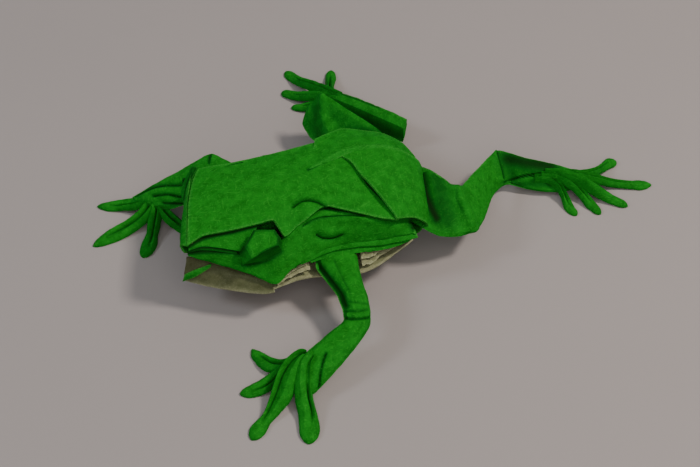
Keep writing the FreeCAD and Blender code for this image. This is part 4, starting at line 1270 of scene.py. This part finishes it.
    def make(self) -> None:
        """Makes every cream piece and the jaw's green corner."""
        self.belly()
        self.jaw()
        self.inner_stack()


# --- limbs --------------------------------------------------------------------------

ARM_PROFILE = [(0.0, 0.0), (0.14, 0.62), (0.4, 0.95), (0.72, 0.85), (0.94, 0.45), (1.0, -0.1), (0.72, -0.7),
               (0.28, -0.7)]
THIGH_PROFILE = [(0.0, 0.0), (0.1, 0.35), (0.4, 0.42), (0.72, 0.34), (0.95, 0.2), (1.0, -0.06),
                 (0.75, -0.5), (0.25, -0.5)]
TENT_PROFILE = [(0.0, 0.0), (0.25, 0.35), (0.6, 0.1), (0.9, 0.25), (1.0, 0.0), (0.7, -0.6), (0.3, -0.6)]
TUBE_PROFILE = [(0.0, 0.0), (0.04, 0.5), (0.34, 1.0), (0.66, 0.5), (1.0, 0.0), (0.75, -0.5), (0.25, -0.5)]


def digit_profile(groove: float) -> list[tuple[float, float]]:
    """Gives a digit's folded section, two rounded pleats with a valley between them.

    Args:
        groove: Where the valley lies across the digit, from -1 to 1.

    Returns:
        The section's corners, the fourth one being the valley.
    """
    return [(-1.0, 0.1), (-0.9, 0.5), ((groove - 1) * 0.5, 0.95), (groove, 0.36), (groove + 0.14, 0.74),
            ((groove + 1.1) * 0.5, 0.98), (0.9, 0.5), (1.0, 0.1), (0.7, 0.0), (-0.7, 0.0)]


PAD_PROFILE = [(-1.0, 0.1), (-0.9, 0.45), (-0.55, 0.75), (-0.15, 0.9), (0.1, 0.92), (0.5, 0.78),
               (0.9, 0.45), (1.0, 0.1), (0.7, 0.0), (-0.7, 0.0)]


@dataclass
class Limb:
    """A long fold of paper that crosses a joint.

    Attributes:
        name: The piece's name.
        left: Points along its left edge in the layout.
        right: Points along its right edge.
        depth: Its depth at each.
        profile: Its folded section.
        nodes: The design's pieces that it stands for.
        bodies: The one body it rides on, or the two either side of its joint; a band with two is put on
            neither.
        joint: The joint that it crosses; not used.
        heading: The way from the first body to the second at the joint, in degrees; not used.
        reach: Half the length of the bend in millimetres; not used.
        scores: Creases pressed into it.
        seed: Seed of its crumpling.
    """

    name: str
    left: Points
    right: Points
    depth: list[float]
    profile: list[tuple[float, float]]
    nodes: tuple[str, ...]
    bodies: tuple[str, ...]
    joint: str = ""
    heading: float = 0.0
    reach: float = 3.0
    scores: tuple[Score, ...] = ()
    seed: int = 1

    def make(self) -> None:
        """Makes the band and dresses it, and puts it on its body when it has only one."""
        rings, creases = band_rings(self.left, self.right, self.depth, self.profile)
        surface = tube_surface(rings, creases[:1], self.scores, crumple=0.15, seed=self.seed)
        piece = make_piece(self.name, surface, Paper.GREEN, self.nodes, keep_angle=30.0)
        if len(self.bodies) == 1:
            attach(piece, self.bodies[0])
            return
        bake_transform(piece)


@dataclass
class Digit:
    """A finger or toe, a folded ray from the palm or foot to a rounded pad.

    Attributes:
        node: The design's piece that it stands for.
        parent: The body that its root belongs to; not used.
        path: Points along its middle, from its root to its tip.
        widths: Its half width at each.
        groove: Where its valley lies across it, from -1 to 1.
        seed: Seed of its crumpling.
    """

    node: str
    parent: str
    path: Points
    widths: list[float]
    groove: float = 0.0
    seed: int = 1

    def make(self) -> None:
        """Makes the ray and dresses it."""
        line = [(x, y, max(TABLE_GAP, z - DIGIT_SINK)) for x, y, z in self.path]
        heights = [min(2.4, 0.75 + z * 0.42) + 0.25 * w for (_, _, z), w in zip(self.path, self.widths)]
        rings, creases, folded = ray_rings(line, self.widths, heights, digit_profile(self.groove),
                                           PAD_PROFILE)
        # painted shade along the valley between the two pleats, fading out towards the pad
        surface = tube_surface(rings, [], crumple=0.12, seed=self.seed, hug=TABLE_GAP,
                               valleys=(creases[3],), fading=folded * 0.85)
        piece = make_piece(self.node + "_ray", surface, Paper.GREEN, (self.node,), keep_angle=34.0)
        pivot = joint_at(f"{self.node}_splay")
        pivot[2] = 0.0
        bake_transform(piece)


@dataclass
class Arms:
    """Both arms with their fingers.

    Attributes:
        left_reach: Half the length of the left elbow's bend in millimetres.
        right_reach: Half the length of the right elbow's bend.
    """

    left_reach: float = 3.0
    right_reach: float = 2.6

    def near_arm(self) -> None:
        """Makes the left arm, from under the hem to the wrist."""
        Limb("left_arm_fold",
             left=[(-10.5, -13.0, 13.2), (-12.4, -18.9, 11.8), (-11.6, -21.5, 11.0), (-10.4, -24.2, 10.5),
                   (-8.9, -28.5, 9.7), (-8.5, -32.4, 8.9), (-8.8, -35.4, 8.4), (-9.8, -36.4, 8.2),
                   (-13.0, -37.9, 7.7), (-16.1, -39.6, 7.0), (-19.4, -41.2, 6.3), (-22.6, -43.0, 5.2),
                   (-24.2, -44.6, 4.0)],
             right=[(-3.5, -13.0, 13.6), (-1.2, -18.6, 12.9), (-1.5, -22.5, 12.1), (-1.6, -26.9, 11.3),
                    (-1.3, -31.0, 10.3), (-1.6, -34.5, 9.4), (-2.2, -37.6, 8.5), (-3.2, -39.4, 8.0),
                    (-6.2, -42.4, 7.2), (-10.4, -45.8, 6.1), (-15.8, -49.6, 4.6), (-20.4, -52.4, 3.2),
                    (-22.0, -52.6, 2.6)],
             depth=[1.4, 1.7, 2.2, 2.5, 2.5, 2.4, 2.2, 2.1, 2.1, 2.1, 2.0, 1.7, 0.8],
             profile=ARM_PROFILE,
             nodes=("left_upper_arm", "left_forearm"),
             bodies=("left_upper_arm", "left_forearm"),
             joint="left_elbow",
             heading=-117.0,
             reach=self.left_reach,
             # the pressed creases carry painted shade: the elbow lines, and the wide band down the arm's
             # near side under the pleat above
             scores=(Score([(-6.4, -31.6, 10.5), (-4.4, -32.4, 10.5), (-2.0, -33.6, 10.5)], 0.2, 0.3, 0.4),
                     Score([(-8.7, -34.0, 10.0), (-5.4, -34.6, 10.0), (-2.4, -34.9, 10.0)], 0.35, 0.36,
                           0.6),
                     Score([(-9.4, -35.7, 9.5), (-5.6, -36.8, 9.5), (-1.8, -37.2, 9.5)], 0.5, 0.36, 0.8),
                     Score([(-11.9, -18.9, 12.0), (-10.2, -23.4, 11.4), (-8.2, -28.5, 10.6),
                            (-7.9, -31.8, 9.8)], 0.7, 1.1, 1.0),
                     Score([(-7.4, -20.0, 14.0), (-6.6, -25.0, 12.6), (-5.8, -30.0, 11.4)], 0.25, 0.3, 0.5),
                     Score([(-15.5, -43.7, 7.0), (-17.3, -46.7, 6.0), (-18.6, -50.1, 4.5),
                            (-19.6, -54.2, 3.5)], 0.7, 0.34, 1.0),
                     Score([(-5.4, -38.6, 9.6), (-10.0, -41.6, 8.8), (-14.4, -44.2, 7.6)], -0.3, 0.8)),
             seed=81).make()

    def far_arm(self) -> None:
        """Makes the right arm, which lies tucked under the head."""
        Limb("right_arm_fold",
             left=[(-12.0, 6.0, 10.8), (-19.0, 9.4, 11.4), (-25.5, 12.0, 13.2), (-31.4, 13.4, 12.9),
                   (-36.0, 13.6, 11.8), (-41.0, 14.4, 8.6), (-45.2, 15.4, 6.4), (-49.0, 18.2, 4.6),
                   (-51.0, 20.4, 3.6)],
             right=[(-13.0, 12.0, 11.2), (-19.6, 15.6, 12.0), (-25.6, 19.4, 14.6), (-31.4, 25.8, 14.8),
                    (-36.0, 25.6, 13.0), (-41.4, 25.2, 10.6), (-47.6, 25.0, 8.0), (-51.9, 25.0, 5.6),
                    (-55.0, 24.9, 4.0)],
             depth=[0.9, 1.2, 1.8, 2.0, 2.0, 2.0, 1.9, 1.7, 0.9],
             profile=ARM_PROFILE,
             nodes=("right_upper_arm", "right_forearm"),
             bodies=("right_upper_arm", "right_forearm"),
             joint="right_elbow",
             heading=180.0,
             reach=self.right_reach,
             # the pressed creases carry painted shade
             scores=(Score([(-31.4, 26.0, 15.6), (-32.3, 24.4, 15.8), (-32.9, 22.6, 14.6)], 0.6, 0.4),
                     Score([(-36.0, 17.8, 14.4), (-41.1, 17.7, 13.0), (-47.3, 22.1, 9.7),
                            (-52.0, 23.9, 6.6), (-56.0, 24.7, 3.6)], 0.7, 0.38),
                     Score([(-37.0, 15.4, 12.6), (-41.1, 15.2, 11.0), (-42.7, 16.3, 9.8),
                            (-45.9, 19.2, 8.7), (-49.4, 21.4, 6.6)], 0.7, 0.38),
                     Score([(-41.3, 13.9, 9.0), (-43.4, 15.8, 7.6), (-46.8, 18.4, 6.0)], 0.5, 0.4)),
             seed=83).make()

    def fingers(self) -> None:
        """Makes the four fingers of each hand."""
        left = "left_forearm"
        right = "right_forearm"
        digits = [
            Digit("left_finger_1", left, [(-21.8, -43.0, 4.4), (-24.4, -42.2, 3.6), (-26.9, -41.6, 2.8),
                                          (-29.4, -39.6, 1.8), (-31.6, -35.8, 1.2), (-32.8, -32.9, 0.5)],
                  [1.1, 1.3, 1.7, 2.2, 1.7, 0.7], groove=0.25, seed=101),
            Digit("left_finger_2", left, [(-22.2, -42.6, 4.6), (-25.2, -43.0, 4.0), (-28.0, -43.9, 2.8),
                                          (-31.6, -45.5, 1.8), (-35.1, -46.1, 1.2), (-38.5, -46.2, 0.5)],
                  [1.2, 1.4, 1.8, 2.1, 2.0, 1.2], groove=-0.25, seed=102),
            Digit("left_finger_3", left, [(-20.2, -42.8, 5.8), (-21.6, -42.8, 6.2), (-24.0, -44.3, 5.6),
                                          (-26.6, -47.2, 4.4), (-28.8, -50.6, 3.0), (-31.6, -53.6, 1.9),
                                          (-33.8, -55.6, 1.4), (-36.2, -57.9, 1.2), (-38.4, -60.5, 0.6)],
                  [1.2, 1.8, 2.4, 2.8, 2.8, 2.0, 1.6, 2.1, 1.7], groove=0.45, seed=103),
            Digit("left_finger_4", left, [(-18.6, -42.8, 6.0), (-19.6, -43.6, 6.6), (-21.6, -45.8, 5.9),
                                          (-22.8, -49.4, 4.4), (-23.4, -53.2, 3.0), (-23.4, -57.2, 1.9),
                                          (-24.0, -61.4, 1.4), (-25.0, -65.0, 0.6)],
                  [1.1, 1.8, 2.2, 2.3, 2.3, 2.4, 2.6, 1.8], groove=-0.45, seed=104),
            Digit("right_finger_1", right, [(-48.4, 19.6, 4.8), (-47.2, 17.0, 4.6), (-45.8, 14.8, 3.8),
                                            (-43.6, 12.6, 2.4), (-41.4, 10.6, 0.6)],
                  [1.1, 1.5, 1.8, 1.7, 1.0], groove=0.1, seed=105),
            Digit("right_finger_2", right, [(-48.6, 21.4, 5.4), (-49.2, 18.6, 4.4), (-50.4, 15.4, 3.0),
                                            (-51.6, 12.2, 1.9), (-53.0, 9.2, 1.2), (-55.2, 5.2, 0.6)],
                  [1.3, 1.7, 1.9, 1.7, 2.2, 1.5], groove=-0.1, seed=106),
            Digit("right_finger_3", right, [(-47.6, 20.6, 5.6), (-50.4, 19.9, 4.4), (-53.6, 18.1, 2.7),
                                            (-57.6, 16.6, 1.6), (-62.4, 14.9, 1.1), (-68.0, 12.6, 0.5)],
                  [1.5, 2.0, 2.3, 2.4, 2.4, 1.0], groove=0.15, seed=107),
            Digit("right_finger_4", right, [(-46.8, 22.2, 7.0), (-50.2, 22.6, 4.9), (-53.8, 23.6, 3.0),
                                            (-57.4, 25.2, 1.8), (-61.4, 26.3, 1.1), (-64.9, 27.3, 0.5)],
                  [1.6, 2.0, 2.2, 2.1, 1.8, 0.8], groove=-0.3, seed=108),
        ]
        for digit in digits:
            digit.make()

    def make(self) -> None:
        """Makes every piece of the pair."""
        self.near_arm()
        self.far_arm()
        self.fingers()


@dataclass
class Legs:
    """Both legs with their toes.

    Attributes:
        knee_reach: Half the length of the left knee's bend in millimetres.
        heel_reach: Half the length of the left heel's bend.
    """

    knee_reach: float = 2.6
    heel_reach: float = 2.4

    def near_leg(self) -> None:
        """Makes the left leg, from under the rump over the knee and the heel to the foot."""
        Limb("left_knee_fold",
             left=[(14.0, 4.0, 17.6), (20.6, 4.4, 18.4), (24.4, 1.7, 18.4), (28.0, -1.5, 16.8),
                   (30.4, -3.9, 15.0), (31.8, -3.3, 14.6), (34.4, -0.4, 13.6), (36.8, 2.3, 12.7),
                   (39.4, 4.9, 12.0)],
             right=[(13.5, -10.0, 15.0), (18.4, -15.0, 13.8), (22.3, -16.3, 11.4), (27.4, -16.3, 9.8),
                    (33.0, -15.0, 9.0), (35.0, -13.0, 8.8), (36.8, -10.6, 8.2), (38.2, -8.2, 7.6),
                    (39.7, -5.6, 7.0)],
             depth=[1.6, 2.0, 2.2, 2.2, 2.2, 2.2, 2.2, 2.1, 2.1],
             profile=THIGH_PROFILE,
             nodes=("left_thigh",),
             bodies=("left_thigh", "left_shank"),
             joint="left_knee",
             heading=20.0,
             reach=self.knee_reach,
             # painted shade: the narrow creases darken the hip valley, and the wide shallow ones paint
             # whole facets darker
             scores=(Score([(22.2, 3.6, 20.0), (21.6, -1.0, 18.0), (21.8, -6.6, 16.0), (23.0, -11.6, 13.6)],
                           0.9, 1.8, 1.1),
                     Score([(26.0, -1.0, 17.4), (25.6, -6.0, 14.4), (25.8, -10.6, 11.6)], 0.3, 3.2, 0.62),
                     Score([(30.6, -3.7, 15.0), (30.8, -6.4, 13.0), (31.6, -9.8, 11.0), (32.0, -13.4, 9.5)],
                           -1.5, 1.5),
                     Score([(30.4, -4.0, 15.0), (29.8, -6.2, 13.4), (30.6, -9.4, 11.4)], 0.3, 0.34, 0.5)),
             seed=91).make()
        Limb("left_heel_fold",
             left=[(39.4, 4.9, 12.0), (42.0, 7.5, 11.3), (44.8, 10.3, 10.4), (47.0, 12.4, 9.7),
                   (48.6, 12.6, 9.4), (51.2, 11.5, 8.8), (55.2, 9.4, 7.9), (59.4, 8.0, 7.0),
                   (63.2, 6.8, 6.0), (67.6, 5.0, 4.8), (72.0, 3.8, 3.8)],
             right=[(39.7, -5.6, 7.0), (41.2, -2.7, 6.3), (44.0, 1.2, 4.9), (47.6, 4.6, 3.3),
                    (49.6, 5.0, 2.8), (53.4, 3.0, 2.2), (57.6, 1.2, 1.8), (61.4, 0.2, 1.6),
                    (64.4, -0.2, 1.4), (68.0, 0.4, 1.6), (71.8, 1.2, 1.8)],
             depth=[2.1, 2.1, 2.0, 1.9, 1.9, 1.9, 1.9, 1.8, 1.6, 1.4, 0.9],
             profile=THIGH_PROFILE,
             nodes=("left_shank", "left_tarsus"),
             bodies=("left_shank", "left_tarsus"),
             joint="left_heel",
             heading=17.0,
             reach=self.heel_reach,
             # painted shade: the narrow creases darken their grooves, and the wide shallow ones paint whole
             # facets darker
             scores=(Score([(46.4, 11.9, 10.0), (46.7, 8.4, 7.0), (46.9, 6.1, 4.5)], -1.0, 1.1),
                     Score([(47.6, 11.6, 10.0), (48.0, 8.4, 7.0), (48.2, 6.3, 4.5)], 0.5, 0.4, 0.9),
                     Score([(49.6, 10.2, 9.6), (50.2, 7.6, 7.0), (50.4, 5.8, 4.5)], 0.3, 1.8, 0.55),
                     Score([(47.9, 3.6, 5.5), (53.5, 4.3, 6.0), (59.3, 3.2, 6.5), (64.0, 3.0, 6.6)], 0.8,
                           0.42, 1.0),
                     Score([(49.4, 4.2, 3.6), (54.0, 3.2, 3.6), (60.0, 1.8, 3.6)], 0.3, 1.2, 0.6),
                     Score([(50.0, 9.6, 8.6), (55.6, 7.4, 7.8), (61.4, 5.6, 6.8)], 0.05, 2.8, 1.0),
                     Score([(61.4, 3.6, 7.0), (67.0, 2.4, 6.2), (72.0, 1.0, 5.0)], 0.6, 0.36, 1.0)),
             seed=93).make()

    def far_leg(self) -> None:
        """Makes the right leg, folded back on itself behind the rump."""
        Limb("right_thigh_fold",
             left=[(3.0, 12.0, 17.0), (0.8, 20.0, 13.0), (-0.6, 26.0, 10.0), (-2.2, 32.0, 8.2),
                   (-3.3, 37.0, 9.0), (-1.4, 40.0, 11.6)],
             right=[(14.5, 10.0, 20.6), (15.0, 17.4, 19.8), (12.2, 24.0, 18.8), (8.4, 31.0, 17.8),
                    (5.2, 37.4, 17.0), (3.4, 40.8, 16.0)],
             depth=[1.6, 2.0, 2.2, 2.2, 2.0, 1.2],
             profile=TENT_PROFILE,
             nodes=("right_thigh",),
             bodies=("right_thigh",),
             seed=95,
             # painted shade: the wide shallow creases paint the facets that face away from the light darker
             scores=(Score([(3.9, 40.2, 16.4), (2.2, 35.4, 14.0), (2.6, 30.0, 12.6), (2.8, 24.0, 12.4)],
                           -0.9, 1.5),
                     Score([(0.6, 37.6, 13.4), (-0.6, 33.6, 11.0), (0.2, 28.0, 9.6)], 0.4, 1.6, 0.5),
                     Score([(3.6, 24.6, 14.0), (8.6, 22.4, 16.4), (15.0, 18.0, 18.4)], 0.5, 1.7,
                           0.75))).make()
        Limb("right_shank_fold",
             left=[(2.2, 39.6, 14.4), (4.6, 40.0, 12.4), (9.6, 38.4, 8.8), (14.6, 35.0, 6.0),
                   (22.8, 30.0, 3.6)],
             right=[(-1.4, 35.6, 9.2), (0.6, 34.6, 7.4), (7.6, 32.4, 4.8), (13.6, 30.0, 3.6),
                    (22.2, 28.2, 2.8)],
             depth=[1.0, 1.6, 1.5, 1.1, 0.4],
             profile=TUBE_PROFILE,
             nodes=("right_shank",),
             bodies=("right_shank",),
             seed=96,
             # painted shade over the shank, which lies under the thigh
             scores=(Score([(4.0, 38.0, 11.0), (9.0, 36.0, 8.0), (16.0, 33.4, 5.0), (23.0, 30.6, 4.4)], 0.1,
                           3.4, 0.8),)).make()
        Limb("right_tarsus_fold",
             left=[(26.4, 31.4, 9.2), (23.4, 35.2, 9.1), (19.5, 39.6, 8.7), (14.5, 45.4, 8.0),
                   (10.5, 50.0, 6.8), (7.8, 54.2, 4.8)],
             right=[(24.6, 28.6, 3.0), (21.6, 30.6, 2.9), (17.5, 35.4, 2.8), (12.2, 41.5, 2.6),
                    (8.2, 46.5, 2.4), (5.6, 51.0, 2.2)],
             depth=[1.6, 2.0, 2.0, 2.0, 1.8, 1.0],
             profile=TUBE_PROFILE,
             nodes=("right_tarsus",),
             bodies=("right_tarsus",),
             seed=97,
             # painted shade along the lower facet and along the upper crease
             scores=(Score([(24.6, 28.4, 4.6), (20.0, 33.6, 4.6), (14.4, 40.0, 4.6), (9.0, 46.0, 4.6)], 0.3,
                           1.6, 0.6),
                     Score([(20.0, 38.4, 9.0), (14.0, 45.4, 8.0), (9.0, 50.8, 7.0)], 0.4, 0.34,
                           0.8))).make()

    def toes(self) -> None:
        """Makes the five toes of each foot."""
        left = "left_tarsus"
        right = "right_tarsus"
        digits = [
            Digit("left_toe_1", left, [(56.4, 4.2, 4.6), (60.2, 3.2, 4.4), (62.6, 0.8, 3.6),
                                       (63.5, -2.2, 2.4), (63.9, -5.4, 1.2), (64.9, -8.6, 0.5)],
                  [0.9, 1.0, 1.1, 1.2, 1.5, 1.1], groove=0.1, seed=111),
            Digit("left_toe_2", left, [(58.4, 4.2, 5.2), (62.6, 2.8, 5.0), (66.4, -0.2, 3.9),
                                       (68.6, -3.0, 2.4), (70.1, -6.0, 1.4), (71.5, -9.8, 0.5)],
                  [0.9, 1.1, 1.3, 1.4, 1.6, 1.1], groove=-0.1, seed=112),
            Digit("left_toe_3", left, [(59.6, 4.6, 5.6), (64.0, 3.2, 5.6), (68.4, 0.8, 4.4),
                                       (72.2, -2.2, 3.0), (75.8, -5.2, 1.7), (80.1, -8.8, 0.6)],
                  [1.1, 1.5, 1.9, 2.0, 1.7, 1.3], groove=0.3, seed=113),
            Digit("left_toe_4", left, [(62.6, 3.6, 5.0), (67.8, 2.4, 4.8), (73.6, 0.8, 3.4),
                                       (78.4, -0.2, 2.0), (83.0, -1.4, 1.5), (86.4, -2.0, 1.2),
                                       (89.6, -2.6, 0.5)], [1.2, 1.5, 1.4, 1.3, 1.4, 1.8, 0.8], groove=-0.2,
                  seed=114),
            Digit("left_toe_5", left, [(66.8, 3.2, 4.0), (71.8, 2.8, 3.8), (75.8, 4.8, 2.6),
                                       (78.8, 6.9, 1.7), (81.2, 8.3, 1.3), (83.3, 8.5, 0.6)],
                  [1.2, 1.4, 1.2, 1.4, 1.8, 1.4], groove=0.0, seed=115),
            Digit("right_toe_1", right, [(12.6, 44.4, 4.6), (8.6, 45.2, 4.0), (4.8, 45.4, 2.6),
                                         (1.6, 44.8, 1.4), (-1.0, 44.0, 0.5)], [1.1, 1.3, 1.3, 1.5, 1.0],
                  groove=0.0, seed=116),
            Digit("right_toe_2", right, [(12.0, 46.4, 5.0), (8.4, 48.4, 4.4), (4.6, 50.2, 3.2),
                                         (0.8, 51.9, 1.8), (-3.1, 53.6, 0.5)], [1.1, 1.3, 1.3, 1.5, 1.1],
                  groove=0.1, seed=117),
            Digit("right_toe_3", right, [(11.4, 47.4, 5.8), (7.4, 50.4, 5.2), (3.4, 53.6, 3.6),
                                         (-0.6, 57.2, 1.9), (-4.5, 60.9, 0.5)], [1.2, 1.5, 1.6, 1.8, 1.5],
                  groove=-0.1, seed=118),
            Digit("right_toe_4", right, [(10.8, 48.4, 6.2), (7.6, 52.6, 5.4), (4.4, 57.4, 4.0),
                                         (1.8, 62.2, 2.4), (0.2, 66.2, 1.3), (-1.4, 69.6, 0.5)],
                  [1.3, 1.5, 1.5, 1.6, 1.8, 1.4], groove=0.1, seed=119),
            Digit("right_toe_5", right, [(9.2, 50.2, 5.0), (9.2, 54.6, 3.8), (10.0, 58.8, 2.4),
                                         (11.2, 62.8, 1.4), (12.3, 66.6, 0.5)], [1.1, 1.2, 1.3, 1.7, 1.3],
                  groove=0.0, seed=120),
        ]
        for digit in digits:
            digit.make()

    def make(self) -> None:
        """Makes every piece of the pair."""
        self.near_leg()
        self.far_leg()
        self.toes()


# --- the table, the lights and the camera -------------------------------------------

def flat_material(name: str, colour: Colour, roughness: float) -> bpy.types.Material:
    """Makes the table's finish, an even laminate with the faintest mottling.

    Args:
        name: The material's name.
        colour: Its colour.
        roughness: How matt it is.

    Returns:
        The material.
    """
    material = bpy.data.materials.new(name)
    material.use_nodes = True
    tree = material.node_tree
    shader = tree.nodes["Principled BSDF"]
    shader.inputs["Roughness"].default_value = roughness
    shader.inputs["Specular IOR Level"].default_value = 0.3
    noise = tree.nodes.new("ShaderNodeTexNoise")
    noise.inputs["Scale"].default_value = 14.0
    noise.inputs["Detail"].default_value = 3.0
    tree.links.new(tree.nodes.new("ShaderNodeTexCoord").outputs["Object"], noise.inputs["Vector"])
    mix = tree.nodes.new("ShaderNodeMix")
    mix.data_type = "RGBA"
    tree.links.new(noise.outputs["Fac"], mix.inputs["Factor"])
    mix.inputs[6].default_value = (*colour, 1.0)
    mix.inputs[7].default_value = (*[channel * 1.05 for channel in colour], 1.0)
    tree.links.new(mix.outputs[2], shader.inputs["Base Color"])
    return material


@dataclass
class Studio:
    """The pale table, the three soft lights and the camera.

    Attributes:
        azimuth: The camera's bearing in degrees.
        elevation: Its height over the horizon in degrees.
        distance: Its distance from the point it looks at, in millimetres.
        lens: Its focal length in millimetres.
        target: The point it looks at, in the layout.
        light_distance: How far the lights hang from the frog, in metres.
        room_colour: Colour of the light that the room gives from all round.
        room_strength: Its strength.
        table_half: Half the table's width in metres.
    """

    azimuth: float = -14.0
    elevation: float = 48.0
    distance: float = 405.0
    lens: float = 77.1
    target: tuple[float, float, float] = (0.0, -6.64, 8.0)
    light_distance: float = 0.9
    room_colour: Colour = (0.86, 0.88, 0.92)
    room_strength: float = 0.3
    table_half: float = 3.0

    def bearing(self, azimuth: float, elevation: float) -> Vector:
        """Gives the unit way from the frog towards a bearing.

        Args:
            azimuth: The bearing in degrees.
            elevation: Its height over the horizon in degrees.

        Returns:
            The way.
        """
        turn, rise = math.radians(azimuth), math.radians(elevation)
        return Vector((math.sin(turn) * math.cos(rise), -math.cos(turn) * math.cos(rise), math.sin(rise)))

    def table(self) -> None:
        """Lays the pale table under the frog."""
        mesh = bpy.data.meshes.new("table")
        half = self.table_half
        mesh.from_pydata([(-half, -half, 0), (half, -half, 0), (half, half, 0), (-half, half, 0)], [],
                         [(0, 1, 2, 3)])
        table = bpy.data.objects.new("table", mesh)
        bpy.context.scene.collection.objects.link(table)
        mesh.materials.append(flat_material("pale_table", colour=(0.292, 0.257, 0.245), roughness=0.6))

    def light(self, name: str, azimuth: float, elevation: float, size: float, power: float,
              colour: Colour) -> None:
        """Hangs one soft square light, turned towards the frog.

        Args:
            name: The light's name.
            azimuth: Its bearing in degrees.
            elevation: Its height over the horizon in degrees.
            size: Its width in metres.
            power: Its power in watts.
            colour: Its colour.
        """
        lamp = bpy.data.lights.new(name, "AREA")
        lamp.size = size
        lamp.energy = power
        lamp.color = colour
        holder = bpy.data.objects.new(name, lamp)
        bpy.context.scene.collection.objects.link(holder)
        way = self.bearing(azimuth, elevation)
        holder.location = way * self.light_distance
        holder.rotation_euler = way.to_track_quat("Z", "Y").to_euler()

    def lights(self) -> None:
        """Sets the key on the right, the cooler fill on the left, a wide front light and a dim room."""
        self.light("key", azimuth=78.0, elevation=55.0, size=0.14, power=6.5, colour=(1.0, 0.93, 0.86))
        self.light("fill", azimuth=-98.0, elevation=40.0, size=0.2, power=2.4, colour=(0.82, 0.92, 1.0))
        self.light("front", azimuth=-6.0, elevation=45.0, size=0.8, power=3.3, colour=(1.0, 0.98, 0.95))
        world = bpy.data.worlds.new("room")
        bpy.context.scene.world = world
        world.use_nodes = True
        world.node_tree.nodes["Background"].inputs["Color"].default_value = (*self.room_colour, 1.0)
        world.node_tree.nodes["Background"].inputs["Strength"].default_value = self.room_strength

    def camera(self) -> None:
        """Sets the camera at its bearing, looking at its target."""
        data = bpy.data.cameras.new("camera")
        data.lens = self.lens
        data.sensor_width = 36.0
        data.clip_start = 0.01
        camera = bpy.data.objects.new("camera", data)
        bpy.context.scene.collection.objects.link(camera)
        way = self.bearing(self.azimuth, self.elevation)
        camera.location = Vector(placed(np.array(self.target))) + way * self.distance * MM
        camera.rotation_euler = way.to_track_quat("Z", "Y").to_euler()
        bpy.context.scene.camera = camera

    def make(self) -> None:
        """Sets up the table, the lights and the camera."""
        self.table()
        self.lights()
        self.camera()


def main() -> None:
    """Builds the frog in order and reports each piece."""
    logging.basicConfig(level=logging.INFO, format="%(message)s")
    Studio().make()
    Back().make()
    for side in ("left", "right"):
        Flank(side).make()
    Underside().make()
    Arms().make()
    Legs().make()


if __name__ == "__main__":
    main()
